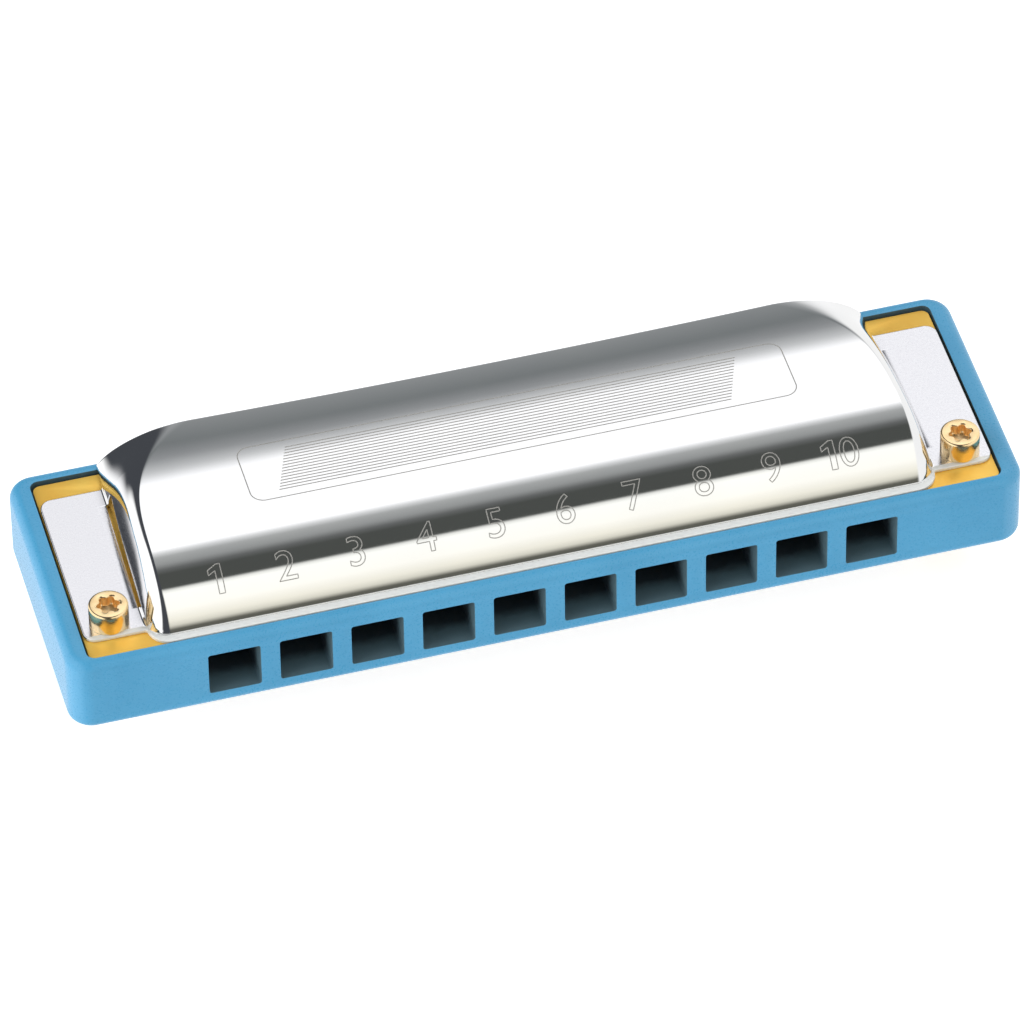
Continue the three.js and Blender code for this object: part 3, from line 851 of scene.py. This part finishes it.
def end_shape(y, rise):
    """Shoulder width and power of the end wall, and its turning angles at the bend and the vent."""
    back = max(0, (y - SHOULDER_START) / (DOME_BACK - SHOULDER_START))
    widening = back**SHOULDER_GROWTH
    shoulder = SHOULDER_FRONT_WIDTH + (SHOULDER_BACK_WIDTH - SHOULDER_FRONT_WIDTH) * widening
    squaring = back**SHOULDER_POWER_GROWTH
    power = SHOULDER_FRONT_POWER + (SHOULDER_BACK_POWER - SHOULDER_FRONT_POWER) * squaring
    bend = min(TAB_BEND, 0.12 * rise)
    y_real = y + DOME_CORNER * corner_share(y)
    vent = np.interp(
        y_real,
        [VENT_FRONT, VENT_BACK - 0.8, VENT_BACK],
        [VENT_FRONT_RISE, VENT_BACK_RISE, VENT_BACK_RISE - 0.3],
    )
    bend_share = bend / rise if rise > 0 else 0.12
    vent_share = min(0.85, max(vent / rise, bend_share * 1.3)) if rise > 0 else 0.85
    angles = [math.asin(share ** (power / 2)) for share in (bend_share, vent_share)]
    return shoulder, power, bend, angles


TAB_COLUMNS = 8
BEND_COLUMNS = 7
LOW_COLUMNS = 4
WALL_COLUMNS = 40
CROWN_COLUMNS = 36


def half_row(y, z):
    """One row of the cover's outer face from the tab's end to the middle, for the +x end."""
    rise = z - BASE_Z
    shoulder, power, bend, (bend_angle, vent_angle) = end_shape(y, rise)
    flare = FRONT_FLARE * min(1, max(0, (VENT_BACK - y) / FLARE_DEPTH))
    bow_share = max(0, (y - CROWN_BACK) / (DOME_BACK - CROWN_BACK)) ** 2

    def on_wall(u, height):
        reach = (DOME_HALF_LENGTH + flare) * (1 - u / DOME_HALF_LENGTH)
        corner = max(0, DOME_CORNER - u)
        set_back = DOME_CORNER - math.sqrt(DOME_CORNER**2 - corner**2)
        bow = REAR_BOW * bow_share * (reach / DOME_HALF_LENGTH) ** 2
        return (reach, y + set_back * corner_share(y) + bow, BASE_Z + height)

    low = np.linspace(bend_angle, vent_angle, LOW_COLUMNS + 1)
    high = np.linspace(vent_angle, math.pi / 2, WALL_COLUMNS + 1)[1:]
    wall = []
    for angle in (*low, *high):
        wall.append(on_wall(shoulder * (1 - math.cos(angle)), rise * math.sin(angle) ** (2 / power)))
    crown = []
    for k in range(1, CROWN_COLUMNS + 1):
        share = (k / CROWN_COLUMNS) ** 1.6
        crown.append(on_wall(shoulder + (DOME_HALF_LENGTH - shoulder) * share, rise))

    wall_x, wall_y, _ = wall[0]
    foot_y = y + DOME_CORNER * corner_share(y)
    lift = REAR_LIFT * float(smoothstep(y, SLIT_BACK, DOME_BACK))
    bent = []
    for k in range(BEND_COLUMNS):
        share = k / BEND_COLUMNS
        if y >= SLIT_BACK:
            drop = -SHEET + lift + (bend + SHEET - lift) * share
            bent.append((wall_x, wall_y, BASE_Z + drop))
        else:
            turn = math.pi / 2 * share
            side = wall_x + TAB_BEND * (1 - math.sin(turn))
            height = bend * (1 - math.cos(turn))
            bent.append((side, foot_y + (wall_y - foot_y) * share, BASE_Z + height))
    tab_inner = wall_x + TAB_BEND
    edge_gap = min(foot_y - TAB_FRONT, TAB_BACK - foot_y)
    corner = min(TAB_CORNER, max(0, TAB_CORNER - edge_gap))
    tab_outer = TAB_HALF_LENGTH - (TAB_CORNER - math.sqrt(TAB_CORNER**2 - corner**2))
    inward = [0, 0.06 / (tab_outer - tab_inner), *np.linspace(0, 1, TAB_COLUMNS)[1:-1]]
    tab = [(tab_outer + (tab_inner - tab_outer) * share, foot_y, BASE_Z) for share in inward]
    return tab + bent + wall + crown


def shell_surface():
    """The cover's outer face: points, quads and each quad's material, with its openings left out."""
    rows = shell_rows()
    columns = len(half_row(*rows[0]))
    points = []
    for y, z in rows:
        right = half_row(y, z)
        left = [(-px, py, pz) for px, py, pz in right]
        points += left + right[-2::-1]
    width = 2 * columns - 1
    bend_start = TAB_COLUMNS
    wall_start = bend_start + BEND_COLUMNS
    vent_end = wall_start + LOW_COLUMNS
    quads, slots = [], []
    for j in range(len(rows) - 1):
        front, back = rows[j][0], rows[j + 1][0]
        in_tab = front >= TAB_ROW - 1e-6 and back <= TAB_BACK + 1e-6
        in_vent = front >= VENT_ROW - 1e-6 and back <= VENT_BACK + 1e-6
        behind_slit = front >= SLIT_BACK - 1e-6
        for c in range(width - 1):
            edge = min(c, width - 2 - c)
            if edge < bend_start:
                kept = in_tab
            elif edge < wall_start:
                kept = behind_slit or (in_tab and not in_vent)
            elif edge < vent_end:
                kept = not in_vent
            else:
                kept = True
            if kept:
                a = j * width + c
                quads.append((a, a + 1, a + width + 1, a + width))
                on_flange = back <= FLANGE_BACK + 1e-6
                slots.append(2 if on_flange else int(edge < bend_start))
    return np.array(points), quads, slots


def face_normals(points, quads):
    corners = points[np.array(quads)]
    normals = np.cross(corners[:, 2] - corners[:, 0], corners[:, 3] - corners[:, 1])
    return normals / np.maximum(np.linalg.norm(normals, axis=1), 1e-9)[:, None]


def sheet_solid(points, quads, slots, thickness, bulge, rim_steps=8):
    """Gives a surface a thickness inwards, and a rounded rim along its open edges."""
    normals = np.zeros_like(points)
    flat = face_normals(points, quads)
    for k in range(4):
        np.add.at(normals, np.array(quads)[:, k], flat)
    lengths = np.linalg.norm(normals, axis=1)
    used = lengths > 0
    normals[used] /= lengths[used][:, None]
    count = len(points)
    faces = list(quads) + [tuple(i + count for i in reversed(quad)) for quad in quads]
    materials = list(slots) + [1] * len(quads)

    owned = {}
    for quad, slot in zip(quads, slots):
        for a, b in zip(quad, quad[1:] + quad[:1]):
            owned[(a, b)] = slot
    border = [edge for edge in owned if (edge[1], edge[0]) not in owned]
    outward = np.zeros_like(points)
    for a, b in border:
        direction = points[b] - points[a]
        direction /= max(np.linalg.norm(direction), 1e-9)
        for i in (a, b):
            outward[i] += np.cross(direction, normals[i])
    rim = {}
    extra = []
    for i in sorted({i for edge in border for i in edge}):
        aside = outward[i] / max(np.linalg.norm(outward[i]), 1e-9)
        rim[i] = [i]
        for step in range(1, rim_steps):
            angle = math.pi * (step / rim_steps - 0.5)
            depth = thickness / 2 * (1 + math.sin(angle))
            rim[i].append(2 * count + len(extra))
            extra.append(points[i] - normals[i] * depth + aside * bulge * math.cos(angle))
        rim[i].append(i + count)
    for a, b in border:
        for step in range(rim_steps):
            faces.append((rim[b][step], rim[a][step], rim[a][step + 1], rim[b][step + 1]))
            materials.append(owned[(a, b)])
    everything = np.concatenate([points, points - normals * thickness, np.array(extra)])
    return compact(everything, faces, materials)


def compact(points, faces, materials):
    """Drops the points that no face uses."""
    used = np.unique(np.concatenate([np.array(face) for face in faces]))
    renamed = np.full(len(points), -1)
    renamed[used] = np.arange(len(used))
    return points[used], [tuple(int(renamed[i]) for i in face) for face in faces], materials


def make_cover(side):
    """A pressed cover with its screw holes. side is 1 for the upper one and -1 for the lower."""
    name = "upper_cover" if side > 0 else "lower_cover"
    points, faces, slots = sheet_solid(*shell_surface(), SHEET - 0.01, RIM_BULGE)
    if side < 0:
        points = points * (-1, 1, -1)
    solid = scratch_object(points, faces, MIRROR)
    solid.data.materials.append(SATIN)
    solid.data.materials.append(FLANGE)
    solid.data.polygons.foreach_set("material_index", slots)
    above = side * (PLATE_TOP - 0.5), side * (BASE_Z + 0.5)
    drills = merged([upright(outline, min(above), max(above)) for outline in SCREW_BORES])
    tool = scratch_object(*drills, SATIN)
    add_cut(solid, tool)
    mesh = modified_mesh(solid)
    bpy.data.objects.remove(tool)
    to_part_frame(mesh)
    dress(name + "_sheet", mesh, [name], sharp=40)


# ---------- engraved marks ----------


DOME_CURVE = dome_curve()
DOME_TRAVEL = np.concatenate([[0], np.cumsum(np.hypot(*np.diff(DOME_CURVE, axis=0).T))])
NOSE_TRAVEL = float(np.interp(NOSE_START, DOME_CURVE[:, 0], DOME_TRAVEL))


def dome_point(travel):
    """(y, z) of the dome's profile, this far along it from the flange."""
    return np.array([np.interp(travel, DOME_TRAVEL, DOME_CURVE[:, k]) for k in (0, 1)])


def on_dome(x, travel):
    """Point and normal of the dome at x, this far along its profile from the flange."""
    y, z = dome_point(travel)
    dy, dz = dome_point(travel + 0.05) - dome_point(travel - 0.05)
    size = math.hypot(dy, dz)
    return np.array([x, y, z]), np.array([0, -dz / size, dy / size])


def ribbon(path, closed, width=MARK_WIDTH):
    """A thin closed strip along a path of (x, travel) that lies in the dome's face."""
    path = np.array(path, float)
    if closed:
        before, after = np.roll(path, 1, axis=0), np.roll(path, -1, axis=0)
    else:
        before, after = np.vstack([path[:1], path[:-1]]), np.vstack([path[1:], path[-1:]])
    along = after - before
    along /= np.maximum(np.linalg.norm(along, axis=1), 1e-9)[:, None]
    side = np.column_stack([-along[:, 1], along[:, 0]]) * width / 2
    rings = []
    for centre, offset in zip(path, side):
        ring = []
        for sign, height in ((-1, MARK_PROUD), (1, MARK_PROUD), (1, -MARK_DEEP), (-1, -MARK_DEEP)):
            point, normal = on_dome(*(centre + sign * offset))
            ring.append(point + normal * height)
        rings.append(np.array(ring))
    return loft(rings, endless=closed)


def glyph_outlines(text):
    """Closed outlines of a figure in Blender's own font, each as an array of (x, y)."""
    curve = bpy.data.curves.new("glyph", "FONT")
    curve.body = text
    curve.align_x = "CENTER"
    curve.fill_mode = "NONE"
    curve.resolution_u = 6
    mesh = modified_mesh(linked_object("glyph", curve))
    bpy.data.curves.remove(curve)
    spots = np.array([v.co[:2] for v in mesh.vertices])
    # An outline's points follow one another, and its closing edge joins the last to the first.
    ends = [edge.vertices[:] for edge in mesh.edges]
    lasts = sorted(max(pair) for pair in ends if abs(pair[0] - pair[1]) > 1)
    return np.split(spots, [last + 1 for last in lasts])[:-1]


def figure_one():
    """The outline of a 1 with a flag at its head, one unit high."""
    flag = [(0.06, 1), (-0.24, 0.83), (-0.24, 0.66), (0, 0.78)]
    stem = [(0, 0), (0.2, 0), (0.2, 1)]
    return [np.array(flag + stem)]


def figure_outlines(text):
    """Outlines of a number, one unit high and centred on x = 0."""
    placed, edge = [], 0
    for character in text:
        outlines = figure_one() if character == "1" else glyph_outlines(character)
        everything = np.concatenate(outlines)
        low, high = everything.min(axis=0), everything.max(axis=0)
        scale = 1 / (high[1] - low[1])
        placed += [(outline - low) * scale + (edge, 0) for outline in outlines]
        edge += (high[0] - low[0]) * scale + FIGURE_GAP
    middle = (edge - FIGURE_GAP) / 2
    return [outline - (middle, 0) for outline in placed]


def stepped(path, step, closed=True):
    """The same path with its long straight stretches cut into short steps, to lie on a curve."""
    following = np.roll(path, -1, axis=0) if closed else path[1:]
    points = []
    for start, end in zip(path, following):
        pieces = max(1, round(np.linalg.norm(end - start) / step))
        points += [start + (end - start) * k / pieces for k in range(pieces)]
    if not closed:
        points.append(path[-1])
    return np.array(points)


def make_numbers():
    """Outline figures 1 to 10 on the nose, over the holes."""
    strips = []
    for number in HOLES:
        centre = FIRST_NUMBER_X + (number - 1) * NUMBER_PITCH
        for outline in figure_outlines(str(number)):
            path = stepped(outline * NUMBER_HEIGHT, MARK_STEP)
            strips.append(ribbon(path + (centre, NOSE_TRAVEL + NUMBER_FOOT), True))
    points, faces = merged(strips)
    add_piece("engraved_numbers", points, faces, [ETCHED], sharp=60)


def make_pinstripes():
    """A plain engraved panel of fine parallel lines on the crown."""
    strips = []
    first = NOSE_TRAVEL + PANEL_START
    left, right = PANEL_LINE_ENDS
    for k in range(PANEL_LINES):
        travel = first + k * PANEL_PITCH
        lean = PANEL_LEAN * k * PANEL_PITCH
        stations = np.linspace(left + lean, right + lean, 12)
        strips.append(ribbon([(x, travel) for x in stations], False, PANEL_LINE_WIDTH))
    last = first + (PANEL_LINES - 1) * PANEL_PITCH
    start, end = BORDER_ENDS
    front, back = first - BORDER_MARGIN, last + BORDER_MARGIN
    border = rounded_outline(start, front, end, back, BORDER_CORNER, 10)
    strips.append(ribbon(stepped(border, BORDER_STEP), True, BORDER_WIDTH))
    points, faces = merged(strips)
    add_piece("engraved_panel", points, faces, [ETCHED], sharp=60)


# ---------- screws and nuts ----------


def star(radius, angles):
    """Radius of a six-lobed recess at each angle."""
    return radius * (0.88 + 0.12 * np.cos(STAR_LOBES * angles))


def make_screw(node, side, head_radius, head_height, shank_radius, star_radius, star_depth, pitch):
    """A turned screw with a rounded head, a six-lobed recess and a cut thread.

    It is drawn upright, with its seat at z = 0, and turned over when side is -1.
    """
    low, high = local_box(node)
    x, y = centre_of(node)
    length = high[2] - low[2] - head_height
    sides = 72
    angles = np.linspace(0, 2 * math.pi, sides, endpoint=False)
    around = np.column_stack([np.cos(angles), np.sin(angles)])

    def ring(reach, z):
        return at_height(around * np.broadcast_to(reach, sides)[:, None], z)

    rings = [ring(0.02, -length), ring(shank_radius * 0.7, -length)]
    thread_top = -0.6
    steps = max(8, int((length - 0.7) / pitch * 8))
    for z in np.linspace(0.12 - length, thread_top, steps):
        phase = (z / pitch - angles / (2 * math.pi)) % 1
        fade = min(1, (z + length) / 0.5, (thread_top - z) / 0.3 + 0.05)
        rings.append(ring(shank_radius - THREAD_DEPTH * fade * (1 - 2 * np.abs(phase - 0.5)), z))
    rings += [ring(shank_radius, -0.55), ring(shank_radius, 0)]

    edge = min(0.22, head_height / 4)
    profile = [(head_radius - 0.06, 0), (head_radius, 0.06)]
    profile += arc(head_radius - edge, head_height - edge, edge, 0, 90, 8)
    mouth = star_radius + 0.14
    profile.append((mouth + 0.05, head_height))
    rings += [ring(radius, z) for radius, z in profile]

    before_recess = len(rings)
    floor = head_height - star_depth
    for radius, z in (
        (mouth, head_height - 0.01),
        (star_radius + 0.04, head_height - 0.07),
        (star_radius, head_height - 0.18),
        (star_radius * 0.97, floor + 0.15),
        (star_radius * 0.88, floor + 0.03),
    ):
        rings.append(ring(star(radius, angles), z))
    rings += [ring(star_radius * 0.4, floor - 0.05), ring(0.03, floor - 0.12)]

    points, faces = loft(rings)
    slots = [int(k // sides > before_recess) for k in range(len(faces) - 2)] + [0, 1]
    if side < 0:
        points = points * (1, -1, -1)
    seat = high[2] - head_height if side > 0 else low[2] + head_height
    add_piece(
        f"{node}_turned",
        points + (x, y, seat),
        faces,
        [GOLD, RECESS],
        [node],
        face_slots=slots,
        sharp=32,
    )


def make_nut(node):
    """A round blind nut with a knurled grip."""
    low, high = local_box(node)
    x, y = centre_of(node)
    radius = (high[0] - low[0]) / 2
    top, bottom = high[2], low[2]
    floor = bottom + NUT_FLOOR
    bore = NUT_BORE_RADIUS

    def knurl(reach, z, angles):
        inside = reach > radius - 0.02 and bottom + 0.35 < z < top - 0.35
        groove = KNURL_DEPTH * (1 - np.abs(np.cos(KNURLS * angles)))
        return reach - (groove if inside else 0 * angles)

    profile = [(0.02, bottom), (0.9, bottom), (1.0, bottom + 0.04)]
    profile += arc(radius - 0.25, bottom + 0.25, 0.25, -90, 0, 6)
    profile += [(radius, bottom + 0.34), (radius, bottom + 0.4), (radius, top - 0.4)]
    profile += [(radius, top - 0.34), (radius, top - 0.08), (radius - 0.08, top)]
    profile += [(bore + 0.06, top), (bore, top - 0.06), (bore, floor), (0.02, floor)]
    points, faces = loft(turned(profile, 144, knurl))
    add_piece(f"{node}_knurled", points + (x, y, 0), faces, [GOLD], [node], sharp=32)


# ---------- studio ----------

# Brightness of the studio by direction round the X axis: degrees from straight up towards the
# player's side, and the colour seen there. The covers mirror it as long bands.
STUDIO_BANDS = [
    (-180, (0.9, 0.9, 0.9)),
    (-105, (1.2, 1.2, 1.22)),
    (-85, (0.4, 0.41, 0.42)),
    (-60, (0.19, 0.205, 0.21)),
    (-55, (0.3, 0.31, 0.32)),
    (-50, (0.62, 0.63, 0.64)),
    (-46, (1.2, 1.2, 1.22)),
    (-31, (1.35, 1.35, 1.37)),
    (-26, (0.75, 0.76, 0.77)),
    (-21, (0.42, 0.43, 0.43)),
    (-12, (0.32, 0.33, 0.33)),
    (-5, (0.14, 0.145, 0.145)),
    (2, (0.075, 0.08, 0.075)),
    (25, (0.075, 0.08, 0.075)),
    (29, (0.9, 0.9, 0.86)),
    (34, (1.15, 1.15, 1.1)),
    (62, (1.15, 1.13, 1.05)),
    (80, (0.98, 0.95, 0.83)),
    (88, (0.75, 0.73, 0.63)),
    (94, (0.12, 0.12, 0.1)),
    (125, (0.1, 0.1, 0.1)),
    (155, (0.3, 0.3, 0.3)),
    (180, (0.9, 0.9, 0.9)),
]


# Pale walls stand to the left and right, with a dark gap beside the left one. Edges are the
# sideways and upward parts of a direction, from where a change starts to where it is complete.
GAP_EDGE = (-0.01, 0.08)
GAP_FLOOR = (-0.1, -0.35)
GAP_COLOUR = (0.06, 0.065, 0.075, 1)
LEFT_WALL_EDGE = (-0.45, -0.6)
LEFT_WALL_COLOUR = (1.25, 1.25, 1.25, 1)
RIGHT_WALL_EDGE = (0.28, 0.46)
RIGHT_WALL_COLOUR = (1, 1, 1, 1)
BACKDROP_COLOUR = (1, 1, 1, 1)

FLOOR_COLOUR = (0.93, 0.93, 0.93, 1)
FLOOR_GLOW = 0.5
FLOOR_REACH = 4

CAMERA_AZIMUTH = 14.62
CAMERA_ELEVATION = 44.69
CAMERA_ROLL = -1.0
CAMERA_AIM = (0.53, 3.49, 6.3)
CAMERA_DISTANCE = 0.979
CAMERA_LENS = 331.6


def make_world():
    """The studio that the covers mirror. The camera itself sees plain white."""
    world = bpy.data.worlds.new("studio")
    world.use_nodes = True
    bpy.context.scene.world = world
    tree = world.node_tree
    tree.nodes.clear()

    def node(kind, inputs=None, **settings):
        return new_node(tree, kind, inputs, **settings)

    def smooth(value, start, end):
        inputs = {"Value": value, "From Min": start, "From Max": end}
        made = node("ShaderNodeMapRange", inputs, interpolation_type="SMOOTHSTEP")
        return made.outputs["Result"]

    def mixed(share, a, b):
        return node("ShaderNodeMix", {0: share, 6: a, 7: b}, data_type="RGBA").outputs[2]

    direction = node("ShaderNodeTexCoord").outputs["Generated"]
    parts = node("ShaderNodeSeparateXYZ", {"Vector": direction})
    forward = node("ShaderNodeMath", {0: parts.outputs["Y"], 1: -1.0}, operation="MULTIPLY")
    sides = {0: forward.outputs[0], 1: parts.outputs["Z"]}
    turn = node("ShaderNodeMath", sides, operation="ARCTAN2").outputs[0]
    full_turn = {"Value": turn, "From Min": -math.pi, "From Max": math.pi}
    share = node("ShaderNodeMapRange", full_turn)
    bands = node("ShaderNodeValToRGB", {"Fac": share.outputs["Result"]})
    stops = [((degrees + 180) / 360, colour) for degrees, colour in STUDIO_BANDS]
    fill_ramp(bands.color_ramp, stops)
    across = parts.outputs["X"]
    past_gap = smooth(across, *GAP_EDGE)
    below = smooth(parts.outputs["Z"], *GAP_FLOOR)
    kept = node("ShaderNodeMath", {0: past_gap, 1: below}, operation="MAXIMUM").outputs[0]
    with_gap = mixed(kept, GAP_COLOUR, bands.outputs["Color"])
    with_left = mixed(smooth(across, *LEFT_WALL_EDGE), with_gap, LEFT_WALL_COLOUR)
    with_right = mixed(smooth(across, *RIGHT_WALL_EDGE), with_left, RIGHT_WALL_COLOUR)
    seen = node("ShaderNodeLightPath").outputs["Is Camera Ray"]
    backdrop = mixed(seen, with_right, BACKDROP_COLOUR)
    background = node("ShaderNodeBackground", {"Color": backdrop, "Strength": 1.0})
    output = node("ShaderNodeOutputWorld")
    tree.links.new(background.outputs[0], output.inputs[0])


def make_light(name, place, target, size, power):
    """A square soft light that the polished parts don't mirror."""
    light = bpy.data.lights.new(name, "AREA")
    light.size = size
    light.energy = power
    holder = linked_object(name, light)
    holder.location = place
    aim = Vector(target) - Vector(place)
    holder.rotation_mode = "QUATERNION"
    holder.rotation_quaternion = aim.to_track_quat("-Z", "Y")
    holder.visible_glossy = False


def make_floor():
    """A pale floor that shows from above only, so that the underside can be looked at."""
    n = Nodes("studio_floor")
    n.set(Base_Color=FLOOR_COLOUR, Roughness=0.9)
    n.set(Emission_Color=(1, 1, 1, 1), Emission_Strength=FLOOR_GLOW)
    underneath = n.node("ShaderNodeNewGeometry").outputs["Backfacing"]
    clear = n.node("ShaderNodeBsdfTransparent").outputs[0]
    shown = n.node("ShaderNodeMixShader", {0: underneath, 1: n.shader.outputs[0], 2: clear})
    n.tree.links.new(shown.outputs[0], n.tree.nodes["Material Output"].inputs["Surface"])
    mesh = bpy.data.meshes.new("floor")
    signs = ((-1, -1), (1, -1), (1, 1), (-1, 1))
    mesh.from_pydata([(x * FLOOR_REACH, y * FLOOR_REACH, 0) for x, y in signs], [], [(0, 1, 2, 3)])
    mesh.materials.append(n.material)
    floor = linked_object("floor", mesh)
    floor.visible_glossy = False


def make_camera():
    """A long lens, 45 degrees up and a little to the left of the instrument's front."""
    azimuth, elevation = math.radians(CAMERA_AZIMUTH), math.radians(CAMERA_ELEVATION)
    roll = math.radians(CAMERA_ROLL)
    aim = Vector(CAMERA_AIM) * MM
    forward = Vector((
        math.sin(azimuth) * math.cos(elevation),
        math.cos(azimuth) * math.cos(elevation),
        -math.sin(elevation),
    ))
    data = bpy.data.cameras.new("camera")
    data.sensor_width = 36
    data.lens = CAMERA_LENS
    data.clip_start = 0.05
    data.clip_end = 20
    camera = linked_object("camera", data)
    camera.rotation_mode = "QUATERNION"
    turned_view = forward.to_track_quat("-Z", "Y").to_matrix() @ Matrix.Rotation(roll, 3, "Z")
    camera.rotation_quaternion = turned_view.to_quaternion()
    camera.location = aim - forward * CAMERA_DISTANCE
    bpy.context.scene.camera = camera


# ---------- the scene ----------

make_camera()
make_world()
make_floor()
make_light("overhead", (0.1, 0.1, 0.9), (0, 0, 0), 0.8, 3)
make_light("left_side", (-0.8, -0.1, 0.35), (0, 0, 0.01), 0.5, 3)
bpy.context.scene.view_settings.view_transform = "Standard"

make_comb()
make_plate(1, "blow")
make_plate(-1, "draw")
for reed_kind in ("blow", "draw"):
    for reed_number in HOLES:
        make_reed(reed_kind, reed_number)
        make_rivet(reed_kind, reed_number)
make_cover(1)
make_cover(-1)
make_numbers()
make_pinstripes()
for hand in HANDS:
    make_screw(f"{hand}_cover_screw", 1, **COVER_SCREW)
    make_nut(f"{hand}_cover_nut")
for place_number in PLATE_SCREWS:
    make_screw(f"upper_plate_screw_{place_number}", 1, **PLATE_SCREW)
    make_screw(f"lower_plate_screw_{place_number}", -1, **PLATE_SCREW)
